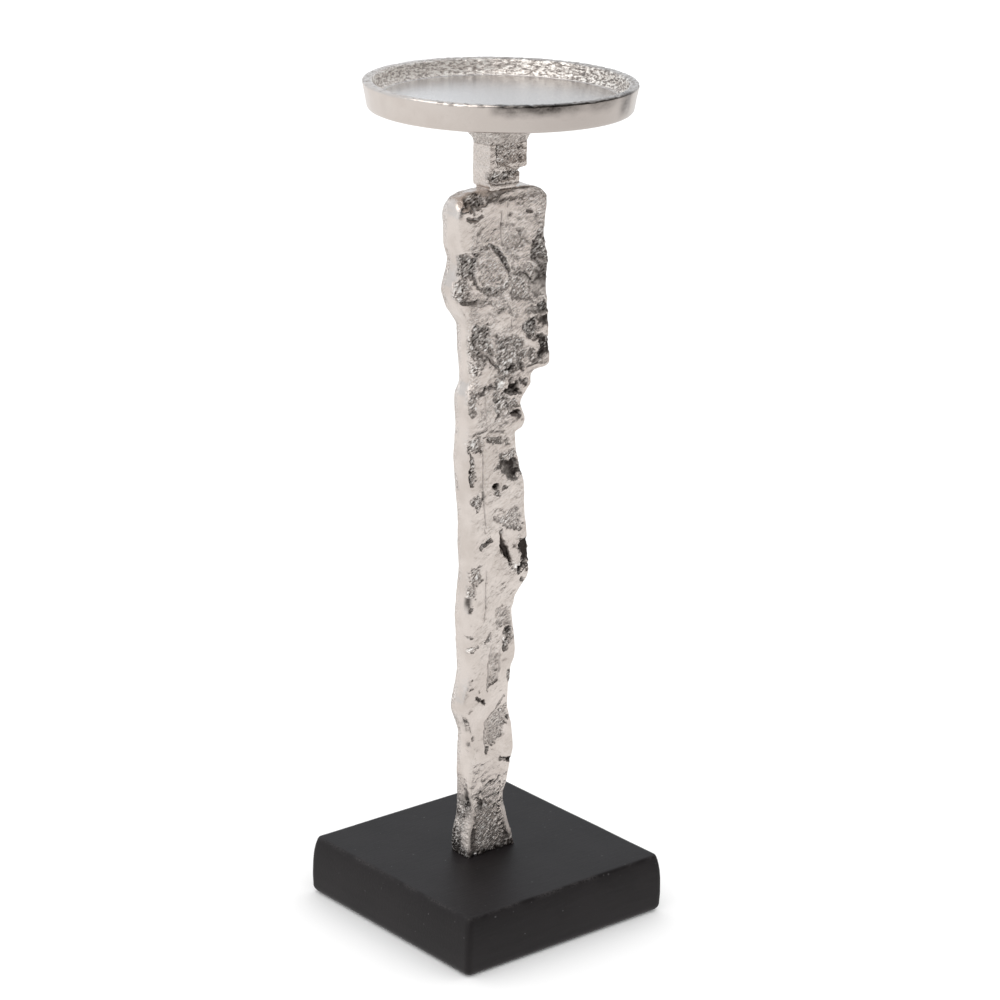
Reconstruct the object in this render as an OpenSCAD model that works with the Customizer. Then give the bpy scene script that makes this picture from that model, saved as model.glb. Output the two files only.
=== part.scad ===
// Candlestick: a pillar-candle dish on a slim rough-cast slab stem, bolted to a square base block.
// All sizes are in millimetres. The underside of the base rests on z = 0 and +Z is up.
// The broad worked face of the stem looks along -Y, and its narrow side looks along -X.

/* [Base block] */
// Side of the base block's top face
base_top = 112; // [90:1:140]
// Side of the base block at its foot
base_bottom = 116.4; // [90:0.2:150]
// Height of the base's top face above the table
base_top_z = 28; // [20:1:40]
// Radius of the base block's upright corners
base_corner_r = 3; // [2:0.5:12]
// Thickness of the felt pads under the base
pad_t = 1; // [0.5:0.5:3]
// Radius of each felt pad
pad_r = 8; // [5:1:15]
// Distance of the pads from the centre lines
pad_offset = 43; // [30:1:48]
// Depth of the recess for the bolt's head
recess_depth = 10; // [8:1:14]
// Radius of the recess for the bolt's head
recess_r = 11; // [9:1:16]

/* [Stem] */
// Height of the stem's flat seat for the neck
stem_top_z = 339.6; // [250:0.2:420]
// Thickness of the stem at its foot
foot_t = 13; // [10:0.5:18]
// Thickness of the stem at its slimmest place
waist_t = 9.4; // [8:0.2:14]
// Thickness of the middle of the stem
middle_t = 10; // [8:0.2:14]
// Thickness of the stem's head
head_t = 12; // [10:0.5:16]
// How deep the worked hollows go, as a factor
hollow_depth = 1; // [0.5:0.1:1.5]

/* [Neck] */
// Height of the step in the neck
neck_step_z = 348.5; // [345:0.5:354]
// Height of the neck's top face
neck_top_z = 359.6; // [355:0.2:366]
// Thickness of the neck
neck_t = 12; // [10:0.5:15]

/* [Dish] */
// Radius of the dish at its rim
rim_r = 59.7; // [45:0.1:75]
// Radius of the dish at its underside
dish_foot_r = 57.6; // [43:0.1:73]
// Height of the dish's flat underside
dish_under_z = 374; // [368:0.5:380]
// Height of the dish's floor
dish_floor_z = 379; // [372:0.5:384]
// Height of the rim's top
rim_z = 386.4; // [380:0.2:400]
// Thickness of the dish's wall at the rim
rim_t = 4.2; // [2:0.2:8]

/* [Fixings] */
// Radius of the tapped holes, which is the threads' outer radius
tapped_r = 3; // [2.5:0.5:5]
// Gap all round between a thread and its hole
thread_gap = 0.05; // [0.02:0.01:0.2]
// Length of the bolt under its head
bolt_length = 35; // [25:5:45]
// Length of the upper stud
stud_length = 50; // [40:5:60]
// Radius of the dowel pin
pin_r = 1.5; // [1:0.5:2.5]
// Length of the dowel pin
pin_length = 17.8; // [12:0.2:24]

/* [Hidden] */
base_under_z = pad_t;
recess_top_z = base_under_z + recess_depth;
washer_t = 1.6;
washer_r = 9;
spring_t = 1.6;
spring_r = 5.9;
bolt_head_h = 4;
bolt_head_flats = 10;
head_top_z = recess_top_z - washer_t - spring_t;
stem_hole_top_z = 47;
stud_hole_depth = 20;
stud_low_z = stem_top_z - 18;
pin_x = -9;
pin_low_z = base_top_z - 8;
thread_r = tapped_r - thread_gap;
eps = 0.1;

// Left edge of the stem, from the foot up, as its turning points: [x, z]
stem_left = [
  [-16, 28], [-15.5, 39], [-14, 46], [-14, 58], [-14.5, 70], [-14, 88], [-15.5, 92.5], [-18, 98.5],
  [-18.5, 103], [-15.5, 115], [-15, 119], [-16.5, 138], [-17, 146], [-16, 156], [-15, 167],
  [-16, 179], [-16, 193], [-18.5, 211], [-19, 219], [-18, 235], [-19, 244], [-18.5, 249.5],
  [-16, 254], [-16, 258], [-17.5, 270], [-18, 280.5], [-21, 285], [-24, 288.5], [-26.5, 295],
  [-26.5, 298.5], [-24, 306], [-23.5, 310], [-25.5, 317], [-26, 325], [-26.5, 330],
  [-25.5, 334.5], [-23, 337.5]
];
// Right edge of the stem, from the shoulder down, as its turning points: [x, z]
stem_right = [
  [20, 337], [22.5, 334.5], [22.5, 330], [21.5, 325], [21.5, 317], [24, 306], [23.5, 292],
  [25.5, 277], [25.5, 270], [26.5, 261], [26.5, 257.5], [25, 256], [17.5, 255.5], [15.5, 253.5],
  [16, 249.5], [11, 244], [10, 241.5], [13, 234.5], [13, 232], [11.5, 229.5], [7.5, 228.5],
  [8.5, 219], [11.5, 210.5], [13.5, 204], [14, 199], [14, 192], [17, 171], [17.5, 161],
  [16.5, 158], [12.5, 154], [9.5, 150.5], [9, 147.5], [7.5, 145], [10.5, 125], [10, 121],
  [8, 117], [8, 111.5], [6.5, 109], [6.5, 97], [9, 89], [10.5, 76], [9, 70], [7, 60.5],
  [5, 56], [5, 51], [8, 39.5], [12, 28]
];
// Half outline of the stem seen from its narrow side: [y, z]
stem_half_side = [
  [foot_t / 2, base_top_z], [5.9, 38], [5.2, 50], [waist_t / 2, 62], [middle_t / 2, 80],
  [middle_t / 2, 226], [5.4, 250], [5.7, 284], [head_t / 2, 304], [head_t / 2, 334],
  [head_t / 2 - 0.8, 337.4], [head_t / 2 - 1.2, stem_top_z]
];
// Worked hollows in the stem's broad face: [x, z, width, height, depth, tilt in degrees]
hollows = [
  [-20, 335, 8, 6, 2.6, 20], [-20.5, 308, 6, 10, 1.8, 0], [-24, 297, 6, 9, 2, -10],
  [13, 297.5, 15, 13, 1.5, 5], [22, 313, 4.5, 17, 1.8, 5], [22, 281, 8, 12, 2.4, 0],
  [15, 274, 10, 7, 1.6, -25], [-13, 273, 13, 15, 1.6, 0], [-8, 267, 10, 6, 1.8, -15],
  [7, 258.5, 6, 3.6, 2.2, 35], [6.5, 249.5, 11, 5, 2.8, 15], [7.8, 237.5, 7, 3.5, 2.2, -20],
  [-3, 226.8, 13, 4, 1.2, -8], [-17, 213.5, 2.6, 8, 2, 0], [5, 212.5, 11, 9, 2.6, -30],
  [-3, 205.3, 4, 3, 2.4, 0], [-8, 179.5, 9, 2.4, 1.4, 15], [3.8, 173.2, 3, 16, 2.4, 23],
  [13.6, 170, 5, 15, 2.6, 3], [-16.6, 151, 2.8, 8, 1.8, 0], [5.6, 132.5, 4.4, 10, 2.2, -10],
  [-10.6, 104.7, 6, 1.5, 1.5, -28], [5, 71.5, 7, 1.5, 1.5, -15], [-5, 44, 14, 24, 1.4, 0]
];

module base_block() {
  color([0.05, 0.05, 0.05])
  difference() {
    // A pillow-sided block: upright low down, leaning in and rounded over near the top
    hull()
      for (level = [[1, base_bottom - 2.4], [3, base_bottom - 0.4], [9, base_bottom],
                    [16, base_bottom - 0.4], [20.5, base_bottom - 0.8], [25, base_bottom - 2.6],
                    [27, base_top + 0.6], [base_top_z, base_top - 1]])
        for (sx = [-1, 1], sy = [-1, 1])
          translate([sx * (level[1] / 2 - base_corner_r), sy * (level[1] / 2 - base_corner_r),
                     level[0] - (level[0] == base_under_z ? 0 : eps)])
            cylinder(r = base_corner_r, h = eps, $fn = 32);
    // Clear hole for the bolt and the recess for its head
    translate([0, 0, base_under_z - 1]) cylinder(r = tapped_r + 0.3, h = 40, $fn = 64);
    translate([0, 0, base_under_z - 1]) cylinder(r = recess_r, h = recess_depth + 1, $fn = 96);
    // Blind hole for the dowel pin
    translate([pin_x, 0, pin_low_z - 0.2]) cylinder(r = pin_r + thread_gap, h = 20, $fn = 48);
  }
}

module felt_pads() {
  color([0.1, 0.1, 0.1])
  for (sx = [-1, 1], sy = [-1, 1])
    translate([sx * pad_offset, sy * pad_offset, 0]) cylinder(r = pad_r, h = pad_t, $fn = 64);
}

module base_bolt() {
  color([0.62, 0.63, 0.65]) {
    translate([0, 0, head_top_z - bolt_head_h])
      cylinder(d = bolt_head_flats / cos(30), h = bolt_head_h, $fn = 6);
    translate([0, 0, head_top_z - 0.5]) cylinder(r = thread_r, h = bolt_length + 0.5 - 0.8, $fn = 64);
    translate([0, 0, head_top_z + bolt_length - 0.8 - eps / 10])
      cylinder(r1 = thread_r, r2 = thread_r - 0.8, h = 0.8, $fn = 64);
  }
}

module flat_washer() {
  color([0.62, 0.63, 0.65])
  translate([0, 0, recess_top_z - washer_t])
  difference() {
    cylinder(r = washer_r, h = washer_t, $fn = 96);
    translate([0, 0, -1]) cylinder(r = tapped_r + 0.2, h = washer_t + 2, $fn = 64);
  }
}

module spring_washer() {
  color([0.5, 0.51, 0.53])
  translate([0, 0, head_top_z])
  difference() {
    cylinder(r = spring_r, h = spring_t, $fn = 96);
    translate([0, 0, -1]) cylinder(r = tapped_r + 0.1, h = spring_t + 2, $fn = 64);
    // The slanting split that makes the ring springy
    translate([spring_r - 1.5, 0, spring_t / 2]) rotate([30, 0, 0]) cube([6, 0.5, 6], center = true);
  }
}

module locating_pin() {
  color([0.62, 0.63, 0.65])
  translate([pin_x, 0, pin_low_z]) {
    cylinder(r1 = pin_r - 0.3, r2 = pin_r, h = 0.3, $fn = 48);
    translate([0, 0, 0.3]) cylinder(r = pin_r, h = pin_length - 0.6, $fn = 48);
    translate([0, 0, pin_length - 0.3]) cylinder(r1 = pin_r, r2 = pin_r - 0.3, h = 0.3, $fn = 48);
  }
}

module stem_blank() {
  side = concat(stem_half_side, [for (i = [len(stem_half_side) - 1 : -1 : 0])
                                   [-stem_half_side[i][0], stem_half_side[i][1]]]);
  // The flat seat for the neck lies between the two rounded shoulders
  front = concat(stem_left, [[-17, stem_top_z - 0.2], [-12.5, stem_top_z], [11, stem_top_z],
                             [15.5, stem_top_z - 0.5]], stem_right);
  intersection() {
    rotate([90, 0, 0]) linear_extrude(height = 40, center = true) polygon(front);
    rotate([90, 0, 90]) linear_extrude(height = 80, center = true) polygon(side);
  }
}

// Half the stem's thickness at a height, read from its side outline
function half_t(z) = lookup(z, [for (p = stem_half_side) [p[1], p[0]]]);

// A straight-walled eight-sided hollow, cut in from the broad face
module hollow(h) {
  translate([h[0], -half_t(h[1]) + h[4] * hollow_depth, h[1]]) rotate([90, h[5], 0])
    linear_extrude(height = 6)
      polygon([for (i = [0 : 7]) [h[2] / 2 * cos(45 * i), h[3] / 2 * sin(45 * i)]]);
}

module stem() {
  color([0.82, 0.8, 0.78])
  difference() {
    stem_blank();
    for (h = hollows) hollow(h);
    // The worked ring around the smooth oval boss under the shoulder
    translate([-8, -half_t(305) + 1.6, 305]) rotate([90, 0, 0]) linear_extrude(height = 6)
      difference() {
        polygon([for (i = [0 : 11]) [10.5 * cos(30 * i), 11.5 * sin(30 * i)]]);
        polygon([for (i = [0 : 11]) [7.5 * cos(30 * i), 8 * sin(30 * i)]]);
      }
    // Tapped hole for the bolt, hole for the dowel pin and tapped hole for the upper stud
    translate([0, 0, base_top_z - 1]) cylinder(r = tapped_r, h = stem_hole_top_z - base_top_z + 1,
                                               $fn = 64);
    translate([pin_x, 0, base_top_z - 1]) cylinder(r = pin_r + thread_gap, h = 11.1, $fn = 48);
    translate([0, 0, stem_top_z - stud_hole_depth]) cylinder(r = tapped_r, h = stud_hole_depth + 1,
                                                             $fn = 64);
  }
}

module top_stud() {
  color([0.62, 0.63, 0.65])
  translate([0, 0, stud_low_z]) {
    cylinder(r1 = thread_r - 0.6, r2 = thread_r, h = 0.6, $fn = 64);
    translate([0, 0, 0.6]) cylinder(r = thread_r, h = stud_length - 1.2, $fn = 64);
    translate([0, 0, stud_length - 0.6]) cylinder(r1 = thread_r, r2 = thread_r - 0.6, h = 0.6,
                                                  $fn = 64);
  }
}

module neck() {
  color([0.82, 0.8, 0.78])
  difference() {
    union() {
      // Small foot that leaves a shadow gap over the stem
      translate([-9.4, -neck_t / 2 + 1, stem_top_z]) cube([14.4, neck_t - 2, 1.6]);
      // Narrow lower block with its left side leaning in, and wide upper block
      rotate([90, 0, 0]) linear_extrude(height = neck_t, center = true)
        polygon([[-10.2, stem_top_z + 1.4], [6, stem_top_z + 1.4], [6.2, neck_step_z],
                 [10.1, neck_step_z + 0.4], [10.3, neck_top_z], [-10.8, neck_top_z],
                 [-10.7, neck_step_z]]);
    }
    // Sunk panels in the broad face
    translate([-6.4, -neck_t / 2 - 1, 353.2]) cube([15, 2.2, 10]);
    translate([-9.6, -neck_t / 2 - 1, 343]) cube([14.6, 2, 4.8]);
    // Clear hole for the upper stud
    translate([0, 0, stem_top_z - 1]) cylinder(r = tapped_r + 0.1, h = 30, $fn = 64);
  }
}

module dish() {
  color([0.82, 0.8, 0.78])
  difference() {
    union() {
      rotate_extrude($fn = 180)
        polygon([[0, dish_under_z], [dish_foot_r - 1, dish_under_z], [dish_foot_r, dish_under_z + 1],
                 [rim_r, rim_z - 0.9], [rim_r - 0.3, rim_z - 0.25], [rim_r - 0.9, rim_z],
                 [rim_r - rim_t + 0.8, rim_z], [rim_r - rim_t, rim_z - 0.8],
                 [rim_r - rim_t - 0.9, dish_floor_z + 2.4], [rim_r - rim_t - 2, dish_floor_z + 0.8],
                 [rim_r - rim_t - 4, dish_floor_z], [0, dish_floor_z]]);
      // Flared boss that spreads from the neck to the dish
      hull() {
        translate([-10.6, -6.1, neck_top_z]) cube([20.7, 12.2, 1]);
        translate([-11.6, -6.9, 366]) cube([22.8, 13.8, 1]);
        translate([-13, -8.2, dish_under_z - 0.6]) cube([25.6, 16.4, 1.2]);
      }
    }
    // Blind tapped hole for the upper stud
    translate([0, 0, neck_top_z - 1]) cylinder(r = tapped_r, h = 16, $fn = 64);
  }
}

felt_pads();
base_block();
base_bolt();
spring_washer();
flat_washer();
locating_pin();
stem();
top_stud();
neck();
dish();
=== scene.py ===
import itertools
import math

import bmesh
import bpy
import numpy as np
from bpy.props import FloatProperty, FloatVectorProperty, IntProperty, PointerProperty
from mathutils import Matrix, Vector, kdtree


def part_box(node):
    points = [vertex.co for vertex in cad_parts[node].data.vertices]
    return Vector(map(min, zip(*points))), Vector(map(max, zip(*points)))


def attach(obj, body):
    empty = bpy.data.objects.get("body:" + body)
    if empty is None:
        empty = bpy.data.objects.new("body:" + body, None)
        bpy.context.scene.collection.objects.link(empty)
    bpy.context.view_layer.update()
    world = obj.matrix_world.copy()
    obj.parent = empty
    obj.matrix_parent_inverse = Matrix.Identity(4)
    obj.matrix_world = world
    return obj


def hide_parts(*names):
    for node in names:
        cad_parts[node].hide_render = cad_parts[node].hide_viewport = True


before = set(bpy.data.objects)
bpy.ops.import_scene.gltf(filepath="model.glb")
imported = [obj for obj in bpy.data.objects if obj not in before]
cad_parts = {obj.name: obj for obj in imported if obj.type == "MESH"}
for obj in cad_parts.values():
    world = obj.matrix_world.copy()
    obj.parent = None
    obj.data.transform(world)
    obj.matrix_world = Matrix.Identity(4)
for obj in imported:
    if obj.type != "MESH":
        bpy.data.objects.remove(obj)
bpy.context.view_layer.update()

bl_info = {
    "name": "Cast Slab Candlestick",
    "version": (1, 0, 0),
    "blender": (4, 5, 0),
    "location": "3D View > Sidebar > Candlestick",
    "description": "Builds a pillar candlestick with a rough-cast slab stem on a black block",
    "category": "Add Mesh",
}

MM = 0.001


# ---------------------------------------------------------------- helpers for shapes, in millimetres

def node_box(name):
    """Lowest and highest corner of a frame node, in millimetres."""
    low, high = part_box(name)
    return np.array(low) / MM, np.array(high) / MM


def smooth_step(low, high, value):
    """0 below low, 1 above high and a smooth rise between them."""
    t = np.clip((value - low) / (high - low), 0.0, 1.0)
    return t * t * (3.0 - 2.0 * t)


def round_edge(first, second, radius, near_edge):
    """Distances in from two faces that meet, moved onto a round edge where near_edge is true."""
    gap_1, gap_2 = radius - first, radius - second
    length = np.maximum(np.hypot(gap_1, gap_2), 1e-9)
    return (np.where(near_edge, radius - radius * gap_1 / length, first),
            np.where(near_edge, radius - radius * gap_2 / length, second))


class Grain:
    """Seeded gradient noise over points in millimetres, between about -1 and 1."""

    def __init__(self, seed):
        draw = np.random.default_rng(seed)
        self.order = draw.permutation(256)
        slopes = draw.normal(size=(256, 3))
        self.slopes = slopes / np.linalg.norm(slopes, axis=1)[:, None]

    def single(self, points):
        cell = np.floor(points).astype(int)
        part = points - cell
        fade = part * part * part * (part * (part * 6 - 15) + 10)
        total = np.zeros(len(points))
        for corner in itertools.product((0, 1), repeat=3):
            spot = cell + corner
            key = self.order[spot[:, 0] & 255]
            key = self.order[(key + spot[:, 1]) & 255]
            key = self.order[(key + spot[:, 2]) & 255]
            slope = ((part - corner) * self.slopes[key]).sum(1)
            share = np.where(np.array(corner) == 1, fade, 1 - fade).prod(1)
            total += slope * share
        return total * 1.6

    def __call__(self, points, size, octaves=1):
        points = np.asarray(points, float) / size
        total = np.zeros(len(points))
        for octave in range(octaves):
            total += self.single(points * 2 ** octave + 19.7 * octave) * 0.5 ** octave
        return total


def even_curve(points, step, soften):
    """Points a step apart along a line through the given ones, with its corners softened."""
    points = np.array(points, float)
    run = np.r_[0, np.cumsum(np.hypot(*np.diff(points, axis=0).T))]
    count = max(int(run[-1] / step), 8)
    at = np.linspace(0, run[-1], count + 1)
    line = np.stack([np.interp(at, run, points[:, i]) for i in (0, 1)], 1)
    reach = int(3 * soften / step)
    if reach:
        taps = np.exp(-0.5 * (np.arange(-reach, reach + 1) * step / soften) ** 2)
        taps /= taps.sum()
        for i in (0, 1):
            ends = np.r_[2 * line[0, i] - line[reach:0:-1, i], line[:, i],
                         2 * line[-1, i] - line[-2:-reach - 2:-1, i]]
            line[:, i] = np.convolve(ends, taps, "valid")
    return line


def spread(line, sideways=0.5):
    """Where each point of a line lies along it, 0 to 1, with sideways runs counted less."""
    run = np.diff(line, axis=0)
    length = np.r_[0, np.cumsum(np.hypot(run[:, 0] * sideways, run[:, 1]))]
    return length / length[-1]


def line_distance(points, corners):
    """Distance of points to a line of straight stretches, and how far along the nearest point is."""
    corners = np.array(corners, float)
    best = np.full(len(points), 1e9)
    along = np.zeros(len(points))
    for i, (a, b) in enumerate(zip(corners[:-1], corners[1:])):
        run = b - a
        t = np.clip(((points - a) @ run) / max(run @ run, 1e-9), 0, 1)
        gap = np.hypot(*(points - a - t[:, None] * run).T)
        near = gap < best
        best[near] = gap[near]
        along[near] = (i + t[near]) / (len(corners) - 1)
    return best, along


def inside_polygon(points, corners):
    """True for the points inside a polygon."""
    inside = np.zeros(len(points), bool)
    last = corners[-1]
    for corner in corners:
        (x0, z0), (x1, z1) = last, corner
        spans = (z0 > points[:, 1]) != (z1 > points[:, 1])
        if z0 != z1:
            cross = x0 + (points[:, 1] - z0) * (x1 - x0) / (z1 - z0)
            inside ^= spans & (points[:, 0] < cross)
        last = corner
    return inside


def box_grid(counts):
    """A cube from -1 to 1 whose faces are cut into that many cells along x, y and z."""
    mesh = bmesh.new()
    bmesh.ops.create_cube(mesh, size=2.0)
    for axis, count in enumerate(counts):
        if count < 2:
            continue
        edges = [e for e in mesh.edges
                 if abs(e.verts[0].co[axis] - e.verts[1].co[axis]) > 1e-6]
        bmesh.ops.subdivide_edges(mesh, edges=edges, cuts=count - 1, use_grid_fill=True)
    return mesh


def get_points(mesh):
    """The points of a bmesh as an array."""
    return np.array([v.co for v in mesh.verts], float)


def set_points(mesh, points):
    """Moves the points of a bmesh, given in millimetres, to their place in metres."""
    for vert, point in zip(mesh.verts, points * MM):
        vert.co = point


def new_object(mesh, name):
    """Puts a bmesh into the scene as an object."""
    data = bpy.data.meshes.new(name)
    mesh.to_mesh(data)
    mesh.free()
    made = bpy.data.objects.new(name, data)
    bpy.context.scene.collection.objects.link(made)
    return made


def finish_piece(mesh, name, material, marks):
    """Makes a finished object from a bmesh, with its marks as an attribute."""
    bmesh.ops.recalc_face_normals(mesh, faces=mesh.faces[:])
    piece = new_object(mesh, name)
    piece.data.shade_smooth()
    layer = piece.data.attributes.new("marks_and_painted_light", "FLOAT_COLOR", "POINT")
    colours = np.ones((len(marks), 4), np.float32)
    colours[:, :3] = np.clip(marks, 0, 1)
    layer.data.foreach_set("color", colours.ravel())
    piece.data.materials.append(material)
    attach(piece, "root")
    return piece


# ---------------------------------------------------------------- shader helpers

class Socket:
    """A shader socket that Python's arithmetic signs work on."""

    def __init__(self, tree, link):
        self.tree = tree
        self.link = link

    def maths(self, operation, first, second):
        return self.tree.node("ShaderNodeMath", {"operation": operation}, {0: first, 1: second})

    def __add__(self, other):
        return self.maths("ADD", self, other)

    __radd__ = __add__

    def __sub__(self, other):
        return self.maths("SUBTRACT", self, other)

    def __rsub__(self, other):
        return self.maths("SUBTRACT", other, self)

    def __mul__(self, other):
        return self.maths("MULTIPLY", self, other)

    __rmul__ = __mul__

    def clamped(self):
        return self.maths("MINIMUM", self.maths("MAXIMUM", self, 0.0), 1.0)

    def most(self, other):
        return self.maths("MAXIMUM", self, other)


class Nodes:
    """One node tree, and one method that adds any node to it."""

    def __init__(self, tree):
        self.nodes = tree.nodes
        self.links = tree.links

    def node(self, kind, settings=None, values=None, output=0):
        node = self.nodes.new(kind)
        for key, value in (settings or {}).items():
            setattr(node, key, value)
        for key, value in (values or {}).items():
            self.feed(node.inputs[key], value)
        return Socket(self, node.outputs[output])

    def feed(self, socket, value):
        if isinstance(value, Socket):
            self.links.new(value.link, socket)
        else:
            socket.default_value = value

    def band(self, value, low, high):
        """A smooth rise from 0 to 1 as value goes from low to high."""
        return self.node("ShaderNodeMapRange",
                         {"interpolation_type": "SMOOTHSTEP", "clamp": True},
                         {"Value": value, "From Min": low, "From Max": high})

    def mix(self, share, first, second):
        """A blend of two colours."""
        node = self.nodes.new("ShaderNodeMix")
        node.data_type = "RGBA"
        self.feed(node.inputs["Factor"], share)
        for place, colour in ((6, first), (7, second)):
            if not isinstance(colour, Socket):
                colour = (*colour[:3], 1.0)
            self.feed(node.inputs[place], colour)
        return Socket(self, node.outputs[2])

    def lean(self, vector, way):
        """How far a direction or a place lies along a way."""
        return self.node("ShaderNodeVectorMath", {"operation": "DOT_PRODUCT"},
                         {0: vector, 1: way}, output="Value")


class Material(Nodes):
    """A new material with its shader."""

    def __init__(self, name):
        self.material = bpy.data.materials.new(name)
        self.material.use_nodes = True
        super().__init__(self.material.node_tree)
        self.shader = self.nodes["Principled BSDF"]

    def set(self, **values):
        """Sets the shader's own sockets; _ in a name stands for a space."""
        for key, value in values.items():
            self.feed(self.shader.inputs[key.replace("_", " ")], value)

    def place(self, stretch=(1, 1, 1), lean=0.0):
        """Object coordinates in millimetres, leaning by some degrees in the broad face."""
        spot = self.node("ShaderNodeTexCoord", output="Object")
        return self.node("ShaderNodeMapping", {"vector_type": "TEXTURE"},
                         {"Vector": spot, "Rotation": (0, -math.radians(lean), 0),
                          "Scale": tuple(MM * size for size in stretch)})

    def noise(self, vector, size, detail=2.0, roughness=0.5, distortion=0.0):
        """Noise whose marks are about size millimetres across."""
        return self.node("ShaderNodeTexNoise", None,
                         {"Vector": vector, "Scale": 1 / size, "Detail": detail,
                          "Roughness": roughness, "Distortion": distortion})

    def bump(self, height, distance):
        normal = self.node("ShaderNodeBump", None,
                           {"Height": height, "Distance": distance * MM})
        self.set(Normal=normal)

    def marks(self):
        """The three marks that the piece carries: on the stem, neck and boss its painted shade, its
        roughness and its painted glints.
        """
        colour = self.node("ShaderNodeAttribute", {"attribute_name": "marks_and_painted_light"},
                           output="Color")
        split = self.nodes.new("ShaderNodeSeparateColor")
        self.feed(split.inputs[0], colour)
        return [Socket(self, split.outputs[i]) for i in range(3)]


# ---------------------------------------------------------------- finishes

def cast_metal(finishes):
    """Rough-cast silvery metal: worn bright faces, dark grainy hollows of painted shade, and painted
    bright glints.
    """
    m = Material("cast_silver")
    dark, rough, glint = m.marks()
    spot = m.place()
    wide = m.noise(spot, 14.0, 3.0)
    slanted = m.place((3.0, 1.0, 0.75), 30)
    ticks = m.noise(slanted, 0.8, 3.0, 0.62)
    grain = m.noise(m.place((2.4, 1.0, 0.72), 30), 0.85, 3.0, 0.6)
    lumps = m.noise(spot, 2.3, 2.0, 0.55)
    # Darker ticks along the slanted grain; painted dark specks for the shaded side of the rough grain;
    # lighter flecks within the painted shade
    dark_ticks = m.band(ticks, 0.57, 0.66) * (0.02 + 0.6 * rough)
    speckle = m.band(grain, 0.535, 0.60) * rough
    flecks = m.band(grain, 0.47, 0.41) * rough
    # Painted shade: the marks' dark value, the dark specks and the ticks, blended toward the painted
    # shade colour
    shade = (dark * (0.75 + 0.6 * wide) * (1.0 - 0.6 * flecks) + speckle * (0.8 + 0.2 * dark)
             + dark_ticks).clamped()
    metal_tone = m.mix(m.band(wide, 0.38, 0.62), finishes.metal_colour, finishes.metal_shade)
    colour = m.mix(shade, metal_tone, finishes.painted_shade_colour)
    # Painted sparkle highlights: near-white specks in the rough parts and over the glint marks, made
    # less metallic so that they stay white
    painted_sparkle = (m.band(grain, 0.445, 0.39) * rough * (1 - 0.5 * dark)).most(
        m.band(grain, 0.55, 0.47) * m.band(glint, 0.6, 0.95))
    colour = m.mix(painted_sparkle.clamped(), colour, (0.99, 0.97, 0.94))
    soft = (painted_sparkle * 0.75).most(glint * 0.9).most(rough * 0.15)
    m.set(Base_Color=colour, Metallic=1.0 - soft.clamped())
    m.set(Roughness=(0.27 - 0.03 * rough + 0.15 * dark - 0.06 * glint).clamped())
    height = ticks * (0.05 + 0.85 * rough) - grain * (rough * 2.0 + glint * 1.6) \
        + lumps * (0.35 + 1.0 * rough)
    m.bump(height, 0.55)
    return m.material


def dish_metal(finishes):
    """The dish: a polished outside, a rough-cast inner wall and a brushed floor, with painted
    reflections, painted shade and painted sparkle highlights.
    """
    m = Material("dish_silver")
    dark, rough, glint = m.marks()
    spot = m.place()
    wide = m.noise(spot, 16.0, 3.0)
    speck = m.noise(m.place((2.3, 2.3, 0.85)), 0.95, 2.0, 0.6, 0.3)
    lumps = m.noise(spot, 3.0, 2.0)
    brushed = m.noise(m.place((1.0, 14.0, 1.0)), 1.6, 3.0, 0.6)
    fine = m.noise(spot, 0.9, 3.0, 0.6)
    # Painted shade: the painted reflections and shade from the marks, with dark specks on the rough
    # inner wall, blended toward the painted shade colour
    shade = (dark * (0.7 + 0.5 * fine) + rough * m.band(speck, 0.52, 0.62) * 0.5
             + m.band(fine, 0.6, 0.72) * 0.06).clamped()
    metal_tone = m.mix(m.band(wide, 0.35, 0.65), [c * 0.93 for c in finishes.metal_colour],
                 [c * 0.97 for c in finishes.metal_shade])
    # Painted shade: the outside is duller toward one side
    painted_dull_side = m.band(m.lean(spot, (0.86, -0.5, 0.0)), -50.0, 25.0)
    metal_tone = m.mix(painted_dull_side * (1.0 - rough), metal_tone, [c * 0.72 for c in finishes.metal_colour])
    colour = m.mix(shade, metal_tone, finishes.painted_shade_colour)
    # Painted sparkle highlights on the rough inner wall
    colour = m.mix((rough * m.band(speck, 0.52, 0.42) * 0.85).clamped(), colour,
                   (0.99, 0.96, 0.91))
    # Painted reflection: the brushed floor is brighter toward its left
    painted_floor_reflection = m.band(m.lean(spot, (-0.76, 0.65, 0.0)), -5.0, 42.0)
    floor = m.mix(painted_floor_reflection, [c * 0.94 for c in finishes.floor_metal], (0.9, 0.9, 0.91))
    colour = m.mix(glint * 0.75, colour, floor)
    m.set(Base_Color=colour, Metallic=1.0 - rough * 0.55)
    m.set(Roughness=(0.20 + 0.06 * rough + 0.04 * glint + 0.06 * fine).clamped())
    m.bump(speck * rough * 1.6 + lumps * (0.12 + rough * 1.1) + brushed * glint * 0.2
           + fine * 0.05, 0.35)
    return m.material


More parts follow.
